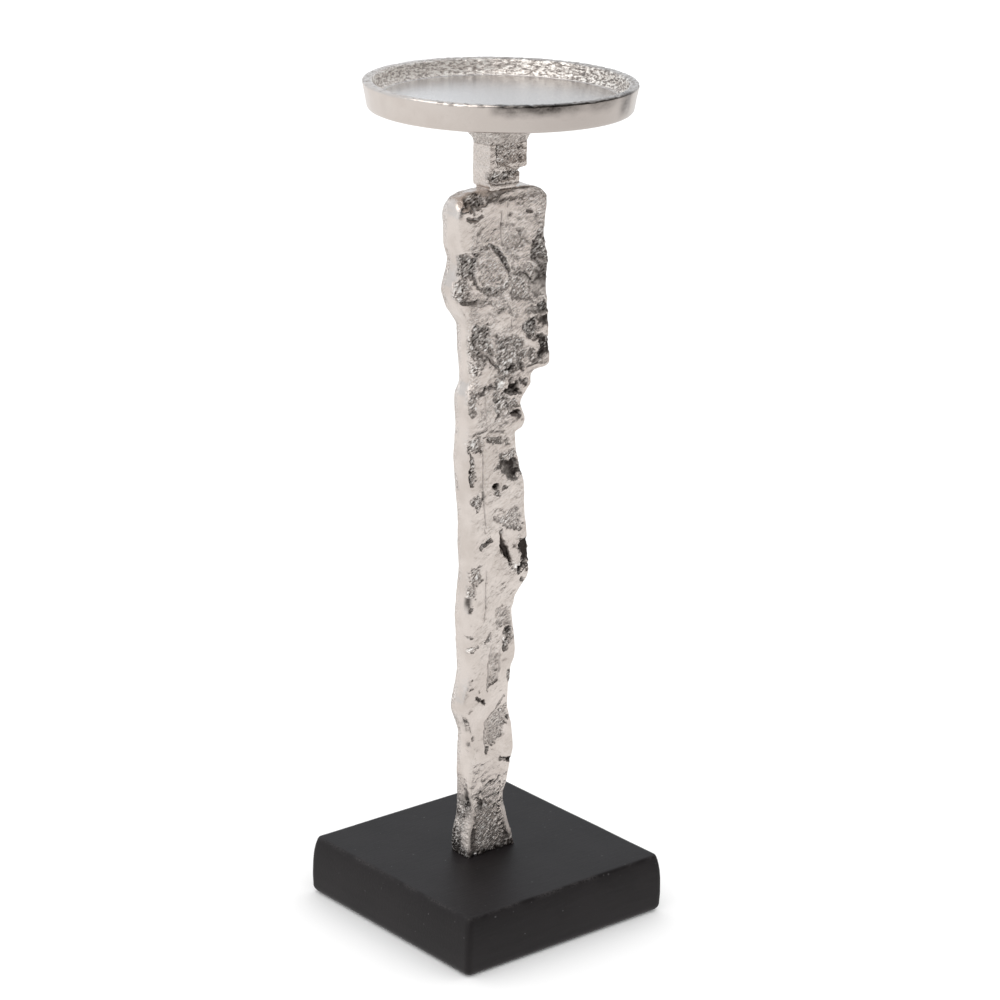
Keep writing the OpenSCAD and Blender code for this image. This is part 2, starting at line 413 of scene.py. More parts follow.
def black_paint(finishes):
    """Matt black paint over a wooden block, with a faint brushed grain and a few light specks."""
    m = Material("black_base")
    spot = m.place()
    wide = m.noise(spot, 22.0, 3.0)
    brush = m.noise(m.place((6.0, 1.0, 1.0)), 1.4, 3.0, 0.6)
    fine = m.noise(spot, 0.7, 2.0, 0.6)
    speck = m.noise(spot, 2.0, 1.0)
    colour = m.mix(m.band(wide * 0.6 + brush * 0.4, 0.35, 0.65), finishes.base_colour,
                   tuple(c * 1.3 for c in finishes.base_colour))
    colour = m.mix(m.band(speck, 0.74, 0.80) * 0.3, colour, (0.16, 0.16, 0.16))
    # Lighter along the top edges
    lighter_edge = m.marks()[0]
    colour = m.mix(lighter_edge * m.band(fine, 0.35, 0.65) * 0.5, colour, (0.07, 0.065, 0.065))
    m.set(Base_Color=colour, Metallic=0.0, Roughness=(0.44 + 0.14 * fine).clamped())
    m.set(Specular_IOR_Level=0.19)
    m.bump(brush * 0.6 + fine * 0.4, 0.10)
    return m.material


def plated_steel(name, colour, roughness):
    """Plain steel fixings with a faint grain."""
    m = Material(name)
    grain = m.noise(m.place(), 0.9, 3.0)
    tone = m.mix(grain, tuple(c * 0.85 for c in colour), colour)
    m.set(Base_Color=tone, Metallic=1.0, Roughness=(roughness + 0.12 * grain).clamped())
    m.bump(grain, 0.03)
    return m.material


def black_felt():
    """Pressed black felt."""
    m = Material("felt")
    fibres = m.noise(m.place(), 0.4, 4.0, 0.7, 1.2)
    colour = m.mix(fibres, (0.01, 0.01, 0.01), (0.05, 0.05, 0.052))
    m.set(Base_Color=colour, Roughness=0.95, Sheen_Weight=0.3)
    m.bump(fibres, 0.25)
    return m.material


# Finishes that more than one piece has, by name
MADE = {}


def shared_finish(name, maker, finishes):
    """The finish of that name, made the first time that it's asked for."""
    if name not in MADE:
        MADE[name] = maker(finishes)
    return MADE[name]


# ---------------------------------------------------------------- the stem's outline and worked face

# The cuts that give the outline pass this far beside the axis of the bolt's and the stud's holes
CLEAR_OF_BORES = 3.8
# A place between the left and the right edge, to tell them apart
MIDDLE_X = -4.0
# How far below the highest point the sides end and the top begins
SHOULDER = 3.0
# How far the edges stand out before they're rounded, so that the rounded ones end up in place
ROUNDING_ROOM = 0.65
# Marks whose painted shade is at least this dark are shaded all over
SOLID = 0.88


def cut_through(name, way, place):
    """Where a solid's surface meets a plane, in millimetres and from the foot up."""
    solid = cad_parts[name]
    cut = bmesh.new()
    cut.from_mesh(solid.data)
    cut.transform(solid.matrix_world)
    found = bmesh.ops.bisect_plane(cut, geom=cut.verts[:] + cut.edges[:] + cut.faces[:],
                                   plane_co=Vector(way) * place * MM, plane_no=way)
    spots = [v.co.copy() for v in found["geom_cut"] if isinstance(v, bmesh.types.BMVert)]
    cut.free()
    spots = np.array(spots) / MM
    return spots[np.argsort(spots[:, 2])]


def rising_edge(points, sign, middle):
    """One side of a cut, from the foot up: how far out it is and its height."""
    foot = points[points[:, 1] < points[0, 1] + 0.01]
    above = points[len(foot):]
    above = above[above[:, 0] * sign > middle * sign]
    return np.vstack([foot[np.argmax(foot[:, 0] * sign)], above])


def stem_outline():
    """The stem's left edge, right edge and top as x and z, and its half thickness as z and y."""
    broad = cut_through("stem", (0, 1, 0), CLEAR_OF_BORES)[:, [0, 2]]
    shoulder = broad[-1, 1] - SHOULDER
    sides = []
    for sign in (-1, 1):
        edge = rising_edge(broad, sign, MIDDLE_X)
        end = (np.interp(shoulder, edge[:, 1], edge[:, 0]), shoulder)
        sides.append(np.vstack([edge[edge[:, 1] < shoulder], end]))
    crown = broad[broad[:, 1] > shoulder]
    top = np.vstack([sides[0][-1], crown[np.argsort(crown[:, 0])], sides[1][-1]])
    narrow = rising_edge(cut_through("stem", (1, 0, 0), CLEAR_OF_BORES)[:, [1, 2]], 1, 0.0)
    return (*sides, top, narrow[narrow[:, 1] < shoulder][:, ::-1])


# Worked marks on the broad face, with their painted shade and painted glints. x and z in millimetres on
# the face.
# Hollows: x, z, half width, half height, tilt in degrees, depth, dark (painted shade), rough
FACE_HOLLOWS = [
    (12.5, 328.7, 2.5, 1, 15, 0.8, 0.65, 0.3), (7.6, 318.7, 1.1, 1.8, 0, 0.9, 0.7, 0.4),
    (7.5, 321.4, 2.6, 0.8, 10, 0.6, 0.5, 0.3), (17, 326.6, 1.6, 0.7, 35, 0.5, 0.4, 0.3),
    (3, 323.6, 1.7, 0.5, 0, 0.4, 0.4, 0.2), (2, 328.5, 1.6, 0.6, 25, 0.4, 0.4, 0.2),
    (16.5, 307.5, 2.6, 1.5, 0, 1.3, 0.8, 0.5), (17.5, 292.5, 2.3, 4, 0, 1, 0.5, 0.1),
    (12, 298.4, 1.9, 2.3, 0, 0.8, 0.5, 0.1), (8.5, 267, 1.3, 1.4, 0, 1.3, 0.85, 0.3),
    (-0.5, 268.6, 2.4, 2, 0, 0.9, 0.6, 0.8), (3.2, 268.2, 1.6, 0.9, 10, 0.7, 0.5, 0.6),
    (17, 263.3, 3.2, 2.8, 0, 0.7, 0.3, 0.9), (5.5, 258.3, 3.4, 1.6, 35, 2.4, 1, 0.1),
    (11.3, 258.6, 1.3, 2.4, 10, 1.8, 0.8, 0.6), (12.4, 251.4, 2.4, 1.4, 20, 1.2, 0.6, 0.9),
    (5.3, 253.6, 2, 0.9, 30, 1.2, 0.8, 0.5), (8.4, 237.3, 3.4, 1.6, -15, 2, 0.95, 0.2),
    (-11.2, 223.2, 1.4, 0.7, 10, 0.9, 0.7, 0.3), (-2, 204.9, 2, 1.7, 0, 2.1, 1, 0.1),
    (-1.3, 201.9, 2.1, 1.6, 0, 0.6, 0.35, 0.9), (2.8, 203.3, 1.7, 0.8, 20, 0.7, 0.5, 0.6),
    (-9.9, 202, 0.9, 1.9, 0, 1, 0.75, 0.3), (1.2, 182.4, 1.2, 1.5, 0, 0.9, 0.6, 0.8),
    (14.2, 158, 1.9, 0.8, -25, 0.9, 0.6, 0.5), (-15.8, 135.8, 1.5, 0.5, -5, 0.6, 0.55, 0.2),
    (6.6, 134.8, 1.5, 2, 20, 1.8, 1, 0.4), (4.6, 128, 0.9, 2.4, -20, 1.5, 0.9, 0.5),
    (-14.5, 110.8, 1.7, 0.5, 5, 0.4, 0.22, 0.2), (-14.2, 115.1, 1, 0.4, 0, 0.3, 0.15, 0.2),
    (-10.2, 108.8, 0.9, 0.5, 0, 0.4, 0.2, 0.2), (-15.5, 100, 1.9, 0.4, 10, 0.4, 0.22, 0.1),
    (-16.4, 94.6, 1, 0.8, 0, 0.8, 0.7, 0.2), (7, 91.9, 1, 1, 0, 1.2, 0.9, 0.2),
    (-14.6, 83.1, 0.8, 1.5, -10, 0.9, 0.75, 0.2), (-13.4, 86.2, 0.6, 1.1, -20, 0.5, 0.2, 0.6),
    (-14.4, 79.6, 1, 0.5, 0, 0.4, 0.15, 0.2), (-5.2, 78.7, 1.4, 0.9, 10, 0.9, 0.6, 0.3),
    (-7.4, 52.2, 1.7, 1.4, 0, 1, 0.8, 0.5), (3.8, 240.9, 1.5, 2, 20, 1.2, 0.75, 0.7),
]
# Cuts along a line: width, depth, dark (painted shade), rough, the line's x and z
FACE_CUTS = [
    (1.5, 1.2, 0.75, 0.3, [(-22, 329.6), (-19, 328.1), (-16.5, 328.1), (-14, 329.9)]),
    (1.2, 1.1, 0.8, 0.4, [(-18.8, 333.6), (-18.4, 330)]),
    (0.9, 0.6, 0.45, 0.1, [(-3, 330.5), (-3.3, 324), (-3, 319), (-1.8, 315.3)]),
    (0.6, 0.3, 0.22, 0.1, [(0, 335), (0.2, 329), (-0.2, 322)]),
    (1.1, 0.5, 0.35, 0.2, [(-13.5, 325), (-16, 321.6), (-17, 316)]),
    (1.8, 1.4, 0.8, 0.6, [(-26, 293.6), (-22, 292), (-18, 291.3), (-15, 292.4)]),
    (1.6, 0.8, 0.25, 1, [(-8, 315.4), (-13, 315), (-17, 311.6), (-18.4, 306), (-17.4, 301),
                         (-14.4, 297), (-10, 294.9), (-4, 293.9), (0, 295.6), (2.6, 299.5),
                         (1.8, 304.5), (-1.6, 309.5), (-5, 314), (-8, 315.4)]),
    (3.0, 1.2, 0.65, 1, [(-17, 312), (-18.2, 306), (-17.6, 302.5)]),
    (1.1, 1.0, 0.85, 0.3, [(-17, 302.5), (-15.4, 298.5), (-13, 296.6)]),
    (2.4, 1.4, 0.8, 1, [(-6.5, 314.5), (-3, 311), (0.2, 306.5), (2, 302.5)]),
    (3.0, 1.0, 0.4, 1, [(-12, 296.8), (-7, 295.4), (-2, 295), (1.6, 297)]),
    (1.2, 1.2, 0.9, 0.2, [(8.5, 300.8), (12.5, 300.6), (14.5, 297.5), (16.5, 295.8),
                          (19.3, 296.6), (20.2, 299.5)]),
    (0.8, 0.35, 0.3, 0.1, [(-18.5, 286.5), (-14, 286), (-11, 287), (-7, 285), (-3.5, 282.6)]),
    (0.8, 0.4, 0.4, 0.1, [(-7.5, 284.8), (-4, 283), (-2, 280.6)]),
    (0.8, 0.6, 0.5, 0.1, [(2.8, 287.6), (4.2, 284), (4.3, 278)]),
    (0.9, 0.6, 0.5, 0.2, [(4, 294), (4.3, 289.5)]),
    (2.4, 1.7, 0.75, 0.2, [(-12, 266.3), (-9, 266.3), (-6.5, 264), (-4.6, 261)]),
    (1.9, 1.1, 0.7, 0.6, [(-14.5, 249.6), (-11.5, 249.6), (-9, 251.8), (-6.5, 252.3),
                          (-4, 250.7)]),
    (1.3, 1.3, 0.9, 0.3, [(-3.6, 236.9), (-0.4, 238.3)]),
    (0.8, 0.5, 0.4, 0.1, [(-18.5, 230.8), (-14, 231.6), (-9.3, 232.3), (-6.3, 234.6)]),
    (0.8, 0.5, 0.4, 0.1, [(-6.2, 231), (-2, 230.4), (1.2, 229.8)]),
    (0.8, 0.4, 0.32, 0.1, [(-9.7, 248.5), (-9.2, 242), (-8.8, 236)]),
    (1.3, 1.2, 0.75, 0.5, [(-17.2, 222.8), (-17.1, 218)]),
    (2.8, 0.6, 0.3, 0.9, [(-16.2, 220.5), (-15.8, 214), (-16.2, 208)]),
    (1.5, 1.6, 1, 0.3, [(-17.4, 215.5), (-17.3, 212), (-16.9, 208)]),
    (0.8, 0.55, 0.36, 0.1, [(-10.2, 222), (-10, 214), (-10.1, 206), (-9, 199), (-8.4, 191),
                            (-8.3, 184.5)]),
    (0.9, 0.6, 0.6, 0.4, [(-12.6, 202.4), (-11, 200), (-11.4, 197.4)]),
    (1.8, 1.2, 0.75, 0.7, [(-10.5, 177.7), (-7.5, 179.2), (-4.2, 180)]),
    (3.6, 2.4, 1, 0, [(1.2, 180.5), (2.8, 176.5), (4.7, 172), (7.3, 166.8)]),
    (1, 0.4, 0.26, 0.2, [(-6.7, 166), (-7.2, 158), (-7, 150), (-8.2, 142)]),
    (1.3, 0.7, 0.55, 0.5, [(-7, 131.7), (-5, 133), (-3.6, 135.3)]),
    (0.8, 0.8, 0.75, 0.1, [(-17.8, 128), (-14, 129.3), (-11.2, 130.6)]),
    (1.1, 0.6, 0.32, 0.1, [(-3.3, 129), (-4.6, 122), (-5, 114), (-5.2, 108)]),
    (1.3, 0.4, 0.22, 0.2, [(1.8, 126), (1.2, 119), (-0.2, 112)]),
    (1.3, 1.3, 1, 0, [(-11.8, 105.8), (-9.5, 104.6), (-7.2, 102.9)]),
    (1, 0.6, 0.36, 0.2, [(5, 104), (1.5, 100), (-3, 95.5), (-6.2, 92.5), (-6.8, 85),
                         (-5.8, 79.5)]),
    # A painted dark reflection along the top right edge
    (0.9, 0.3, 0.6, 0.1, [(3, 339.4), (10, 339), (15, 338.2), (19, 336.6), (21.5, 334.5)]),
]
# Patches: depth, dark (painted shade), rough, the corners' x and z, and the way their painted shade
# darkens
FACE_PATCHES = [
    (0.4, 0.05, 0.45, [(-16, 310), (-12.5, 314), (-8, 313.5), (-2, 306), (0.5, 299),
                       (-4, 296.5), (-10, 297), (-15, 300)]),
    (2.3, 1, 0.25, [(-24.6, 333), (-23.8, 337.6), (-20.8, 339.4), (-18.2, 338.6),
                    (-17.6, 334.6), (-19.6, 332.6)], (-0.75, -0.65)),
    (1.1, 0.74, 1, [(-20.5, 340), (-15, 340), (-11.6, 337.2), (-12.4, 333.6), (-15.5, 332),
                    (-20.5, 333)]),
    # Painted shade on the top edge under the neck
    (0.6, 0.3, 0.3, [(-16, 341), (-14, 337), (-9, 336.6), (-3, 338), (5, 339.2), (5, 341)]),
    (0.6, 0.3, 1, [(-15.8, 201), (-12, 202.6), (-10.8, 199.5), (-12.4, 196), (-15.2, 196.6)]),
    (1.7, 0.85, 0.05, [(-18, 155), (-15.2, 154), (-14.6, 150), (-15.4, 147.5), (-17.4, 148),
                       (-18.2, 151)], (-0.5, 1)),
    (1.4, 1, 0, [(2.6, 72.9), (5.5, 72), (10.5, 70.9), (10.5, 69.4), (5.5, 71.3)]),
    (1.3, 0.6, 1, [(-26.5, 313), (-20, 313.5), (-16, 311), (-15.5, 306), (-17, 303),
                    (-21, 302), (-26.5, 303.5)]),
    (1.5, 0.2, 1, [(-28, 302), (-21, 303), (-19.5, 298), (-20, 293), (-26, 291.5), (-28, 296)]),
    (0.7, 0.15, 0.85, [(3.5, 305), (10, 305), (16, 304), (20, 301), (20, 290), (14, 288.5),
                       (8, 289.5), (4, 290)]),
    (0.3, 0.05, 0.5, [(0, 319), (8, 319), (8, 308), (3.5, 305), (1, 311)]),
    (1.3, 0.7, 1, [(14.5, 311), (17, 316), (20, 321), (24, 321), (25, 310), (25, 305),
                   (20, 305.5), (15, 305.5)]),
    (1.5, 0.75, 0.2, [(19, 305.5), (26, 306), (26, 300), (26, 288), (20, 285.5), (17, 290),
                      (15, 296)], (0.4, 0.9)),
    (1.4, 0.85, 1, [(11.5, 283.5), (15, 286), (19.5, 285.5), (25.5, 287.5), (26, 281),
                   (18, 280.5), (14, 281)], (0.5, 0.8)),
    (1.9, 0.95, 0.1, [(17, 280.5), (27, 280.5), (28, 275.5), (20, 276)], (0.5, 0.8)),
    (1.2, 0.85, 1, [(9.5, 275.3), (14, 279.5), (19, 279), (20, 272), (18.5, 269.8),
                    (14, 271.5)]),
    (1.3, 0.38, 1, [(-18.8, 280), (-15, 281), (-10, 280.5), (-7.5, 277.5), (-5.5, 272),
                    (-4.5, 266), (-9, 266), (-12.5, 265), (-17, 266), (-18.8, 268)]),
    (0.5, 0.15, 0.9, [(-18.3, 265), (-12.5, 263), (-12, 259.5), (-15.5, 257.5),
                      (-18.3, 259.5)]),
    (0.6, 0.2, 1, [(-4, 275), (3, 273.5), (8, 273.5), (13, 268), (13.5, 262), (10, 257),
                   (5, 256), (-2, 256), (-4, 262)]),
    (1.7, 0.9, 0.5, [(19.5, 271.5), (22, 271.5), (28, 269), (28, 262.5), (21.5, 260.5),
                      (17.5, 259), (20.5, 262), (21.5, 266)]),
    (2.6, 1, 0, [(-0.5, 247.8), (4.5, 250.8), (9.8, 253.2), (11, 249.5), (9.8, 247),
                 (4, 247)]),
    (0.5, 0.18, 1, [(-4.5, 256), (2, 255.5), (0, 249), (3, 246), (10, 243.5), (9.5, 240.5),
                    (4, 238.5), (-3, 239), (-5, 246)]),
    (0.4, 0.12, 0.8, [(-18.5, 251.5), (-14.5, 251), (-14.5, 241), (-17, 239.5),
                      (-18.5, 241)]),
    (0.6, 0.15, 0.9, [(-18.5, 229.5), (-12, 230), (-9.5, 227), (-9.5, 223.5), (-15, 223),
                      (-18.8, 224)]),
    (1, 0.4, 0.8, [(-8.5, 228.5), (-4, 229), (0, 227), (3.8, 226), (4, 224.3), (0, 224.8),
                   (-5, 226), (-9, 226.8)]),
    (2.4, 1, 0.1, [(-3.5, 213.8), (0.5, 216.5), (3, 216), (8.8, 217.2), (12.6, 208.8),
                   (6, 206), (2.5, 209.5), (-1, 212.8)], (0.75, 0.66)),
    (0.5, 0.1, 0.9, [(0, 220.5), (8.5, 220.5), (9.5, 216.5), (2, 215.8), (-1, 217)]),
    (2.4, 1, 0.05, [(11, 175.1), (16.6, 179.4), (18, 175), (18.5, 168), (17, 163.5),
                    (12, 161.3), (8.5, 163.4), (11.5, 163), (13.8, 165.5), (13.3, 169),
                    (12, 172.5)]),
    (0.5, 0.12, 0.9, [(-15.5, 168.5), (-10, 169), (-9.5, 162), (-14, 160), (-18, 161.5)]),
    (0.5, 0.2, 0.8, [(-18, 160.5), (-14, 160), (-13, 155), (-17.8, 154.5)]),
    (0.3, 0.12, 0.4, [(-2, 147), (7.5, 147), (8, 137), (0, 137.5)]),
    (0.3, 0.05, 0.6, [(-3, 190), (10, 194), (13, 189), (12, 182), (2, 184)]),
    (0.5, 0.1, 0.3, [(-3, 129), (1.5, 126), (0.5, 118), (-0.5, 112), (-4.5, 109),
                     (-4.5, 118)]),
    (0.6, 0.1, 0.45, [(5.5, 99), (7, 92.5), (4, 86), (0, 81), (-4.5, 79.5), (-6.3, 85),
                       (-5.5, 92.5), (-1, 97)]),
    (0.9, 0.3, 1, [(4.5, 137), (8, 138), (8.8, 133), (7, 128), (5, 125), (3.6, 126),
                   (4, 131)]),
    (0.4, 0.2, 0.9, [(6, 115.5), (9.5, 115), (9.5, 110.5), (6.5, 109.5)]),
    (0.3, 0.0, 0.22, [(-8, 63), (3.5, 63), (3, 50), (-5, 50), (-9.5, 56)]),
    (0.9, 0.04, 0.68, [(-9.3, 56), (-6, 53), (1.5, 50), (2, 43), (4, 38), (8.5, 31), (8.5, 27),
                      (-13, 27), (-11.8, 36), (-11.3, 44), (-10.8, 50)]),
    (0.6, 0.8, 0.5, [(-8.5, 54.5), (-5.5, 52.5), (-6.5, 49.5), (-9, 50)]),
    # Painted shade at the foot's lower right, just above the block
    (0.5, 0.7, 0.6, [(6, 33.5), (11, 34), (14, 27), (5, 27)]),
]
# Smooth raised knobs: x, z, half width, half height, tilt, height
FACE_KNOBS = [
    (-22, 331.6, 3.2, 1.8, 0, 0.6), (-17, 298, 2, 3.6, 20, 0.5),
    (-11, 258.5, 4.6, 6, 0, 0.5), (15.5, 269, 5.5, 2, -35, 0.6), (19, 257.6, 7, 1.3, 0, 0.4),
    (6, 245.6, 4.5, 1.5, 12, 0.5), (9.4, 232.8, 4, 3, 0, 0.6), (9.4, 172, 2, 4.6, 20, 0.5),
    (13.4, 248.4, 2, 1.2, 30, 0.4), (-1, 282.5, 6, 5.5, 0, 0.5), (-11, 288, 6, 3, 10, 0.35),
]
# Painted glints, bright sparkle highlights: x, z, half width, half height, tilt
FACE_GLINTS = [
    (-8.8, 313.9, 0.9, 0.8, 0), (-10.3, 298.2, 1.3, 0.9, 0), (-0.3, 297.4, 2.7, 1.2, 40),
    (-3, 295.3, 1.2, 0.6, 0), (-27, 299.5, 1.5, 1.8, 0), (-24.4, 298, 1.5, 2, 0),
    (-25, 294.2, 1.2, 1, 0), (-12, 270.3, 1.5, 0.5, 0), (-17.4, 271, 0.9, 0.9, 0),
    (-0.8, 252, 2.7, 1.4, 10), (-2, 250.7, 1.6, 0.7, 0), (1, 250, 1, 0.7, 0),
    (-1.7, 239.6, 1.7, 0.6, 5), (-16, 227, 2, 2.4, 0), (5.6, 217.3, 2.6, 0.9, 15),
    (-13, 199, 1.3, 1.1, 0), (-6.5, 180.9, 2, 0.5, 20), (11.4, 165, 2.3, 1.4, 20),
    (9.4, 166.6, 1, 0.6, 0), (11, 178.5, 1.7, 0.6, 30), (-13, 164, 1.6, 1.6, 0),
    (-16.2, 155.4, 1.3, 0.8, 0), (3.4, 131.3, 1.2, 1.4, 0), (-14.7, 129.8, 3.6, 1, 18),
    (-1, 94.5, 1.3, 0.8, 0), (2.6, 96.5, 1.2, 1, 0), (-11, 29, 0.8, 0.7, 0),
    (5, 262, 1.5, 1.5, 0), (3, 256.5, 1.5, 0.8, 0), (19.5, 301, 0.8, 0.8, 0),
]


class Face:
    """Gathers the relief of one broad face at each point: how deep it is, its painted shade, how rough
    it is and how bright its painted glints are.
    """

    def __init__(self, points, seed, wear):
        self.noise = noise = Grain(seed)
        self.flat = flat = np.c_[points[:, 0], np.full(len(points), seed * 3.1), points[:, 1]]
        self.bend = np.c_[noise(flat, 3.4, 2), noise(flat + 57, 3.4, 2)] * 0.75 \
            + np.c_[noise(flat + 11, 1.4), noise(flat + 23, 1.4)] * 0.4
        self.points = points + self.bend
        # Chisel-like grain that slants up across the face
        lean = math.radians(28)
        along = points[:, 0] * math.cos(lean) + points[:, 1] * math.sin(lean)
        over = points[:, 1] * math.cos(lean) - points[:, 0] * math.sin(lean)
        self.slant = noise(np.c_[along / 2.4, flat[:, 1], over], 1.25, 2)
        self.fine = noise(flat + 40, 1.25, 2)
        self.hollow = np.zeros(len(points))
        self.raised = np.zeros(len(points))
        self.dark = np.zeros(len(points))
        self.rough = wear(points) * (0.45 + 0.8 * smooth_step(-0.35, 0.5, noise(flat + 3, 10.0, 2)))
        self.glint = np.zeros(len(points))

    def near(self, centre, reach):
        gap = np.abs(self.points - centre)
        return np.flatnonzero((gap[:, 0] < reach) & (gap[:, 1] < reach))

    def press(self, at, share, depth, dark, rough, shaded=1.0):
        """Adds a mark and its painted shade, whose share of the full depth is given at some points."""
        self.hollow[at] = np.maximum(self.hollow[at], depth * share)
        self.dark[at] = np.maximum(self.dark[at], dark * share * shaded)
        self.rough[at] = self.rough[at] * (1 - share) + np.maximum(
            self.rough[at] * 0.3, rough) * share

    def oval(self, x, z, wide, tall, tilt):
        """Points near an oval, and how far out they are, with 1 on its edge."""
        at = self.near((x, z), max(wide, tall) * 1.6 + 1)
        turn = math.radians(tilt)
        step = self.points[at] - (x, z)
        along = step[:, 0] * math.cos(turn) + step[:, 1] * math.sin(turn)
        across = -step[:, 0] * math.sin(turn) + step[:, 1] * math.cos(turn)
        return at, np.hypot(along / wide, across / tall)

    def add_hollow(self, x, z, wide, tall, tilt, depth, dark, rough):
        at, out = self.oval(x, z, wide, tall, tilt)
        # Painted shade, darker in the upper part of the hollow; the darkest marks are shaded evenly
        shaded = 0.55 + 0.45 * smooth_step(-0.8, 0.5, (self.points[at, 1] - z) / tall)
        shaded = np.maximum(shaded, dark >= SOLID)
        self.press(at, 1 - smooth_step(0.45, 1.15, out), depth, dark, rough, shaded)

    def add_cut(self, width, depth, dark, rough, line):
        line = np.array(line, float)
        centre = (line.min(0) + line.max(0)) / 2
        at = self.near(centre, np.ptp(line, axis=0).max() / 2 + width + 2)
        # Thin cuts keep their own course, and wide ones are as ragged as the hollows
        steady = self.bend[at] * (0.45 if width < 1.2 else 0.1)
        gap, along = line_distance(self.points[at] - steady, line)
        closed = np.allclose(line[0], line[-1])
        taper = 1 if closed else 0.4 + 0.6 * np.sin(np.pi * np.clip(along, 0.05, 0.95)) ** 0.5
        half = width / 2 * taper * (1 + 0.35 * self.fine[at] + 0.3 * self.slant[at])
        # The painted shade breaks up along the cut, except in the darkest cuts
        broken = 0.55 + 0.45 * smooth_step(-0.5, 0.3, self.noise(self.flat[at] + 71, 4.0))
        broken = np.maximum(broken, dark >= SOLID)
        self.press(at, 1 - smooth_step(0.3, 1.3, gap / np.maximum(half, 0.15)),
                   depth, dark, rough, broken)

    def add_patch(self, depth, dark, rough, corners, toward=None):
        """A patch; it gets deeper, and its painted shade darker, toward one side when that way is given.
        """
        corners = np.array(corners, float)
        centre = (corners.min(0) + corners.max(0)) / 2
        size = np.ptp(corners, axis=0)
        at = self.near(centre, size.max() / 2 + 3)
        # Slim patches keep their own outline, and broad ones are ragged
        spots = self.points[at] - self.bend[at] * (0.7 if size.min() < 4 else 0.1)
        gap = line_distance(spots, np.vstack([corners, corners[:1]]))[0]
        gap = np.where(inside_polygon(spots, corners), gap, -gap)
        gap += (self.slant[at] + 0.7 * self.fine[at]) * (1.3 if size.min() > 4 else 0.4)
        share = smooth_step(-0.6, 1.4 if size.min() > 4 else 0.5, gap)
        # The painted shade varies at random across the patch, and the darkest patches are shaded evenly
        shaded = np.clip(0.65 + 0.5 * self.noise(self.flat[at] + 33, 3.5, 2), 0, 1)
        shaded = np.maximum(shaded, dark >= SOLID)
        if toward:
            span = corners @ np.array(toward)
            shaded = smooth_step(0.0, 0.62, (spots @ np.array(toward) - span.min()) / np.ptp(span))
            share = share * (0.2 + 0.8 * shaded)
        self.press(at, share, depth, dark, rough, shaded)

    def add_knob(self, x, z, wide, tall, tilt, height):
        at, out = self.oval(x, z, wide, tall, tilt)
        share = 1 - smooth_step(0.3, 1.05, out)
        self.raised[at] = np.maximum(self.raised[at], height * share)
        clean = 1 - 0.8 * smooth_step(0.2, 0.8, share)
        self.hollow[at] *= clean
        self.dark[at] *= clean
        self.rough[at] *= clean

    def add_glint(self, x, z, wide, tall, tilt):
        # A painted glint: a bright spot, with less painted shade and a shallower hollow under it
        at, out = self.oval(x, z, wide, tall, tilt)
        share = 1 - smooth_step(0.5, 1.2, out)
        self.glint[at] = np.maximum(self.glint[at], share)
        self.dark[at] *= 1 - 0.85 * share
        self.hollow[at] *= 1 - 0.6 * share

    def height(self, strength=1.0):
        """How far the face stands back at each point."""
        swell = self.noise(self.flat + 90, 9.0, 2) * 0.3
        chiselled = (0.4 + self.slant * 0.6 + self.fine * 0.3) * self.rough
        return (self.hollow + chiselled - self.raised + swell + self.slant * 0.06) * strength


def front_wear(points):
    """How rough the face that shows is between its marks: most at the head's middle and right."""
    x, z = points.T
    wear = 0.05 + 0.09 * smooth_step(95, 140, z) + 0.2 * smooth_step(190, 246, z)
    wear += 0.22 * smooth_step(284, 296, z) * smooth_step(-8, 2, x) * smooth_step(332, 318, z)
    wear -= 0.2 * smooth_step(314, 324, z) * smooth_step(12, 4, x)
    wear = np.maximum(wear, 0.06)
    wear *= 0.2 + 0.8 * smooth_step(-15.5, -12.5, x + 6 * smooth_step(236, 250, z))
    return wear


def back_wear(points):
    """How rough the other face is between its marks."""
    return 0.3 + 0.2 * smooth_step(240, 300, points[:, 1])


def worked_face(points):
    """The broad face that shows: its hollows, cuts, patches, knobs and painted glints."""
    face = Face(points, 7, front_wear)
    for patch in FACE_PATCHES:
        face.add_patch(*patch)
    for hollow in FACE_HOLLOWS:
        face.add_hollow(*hollow)
    for cut in FACE_CUTS:
        face.add_cut(*cut)
    for knob in FACE_KNOBS:
        face.add_knob(*knob)
    for chip in FACE_GLINTS:
        face.add_glint(*chip)
    return face


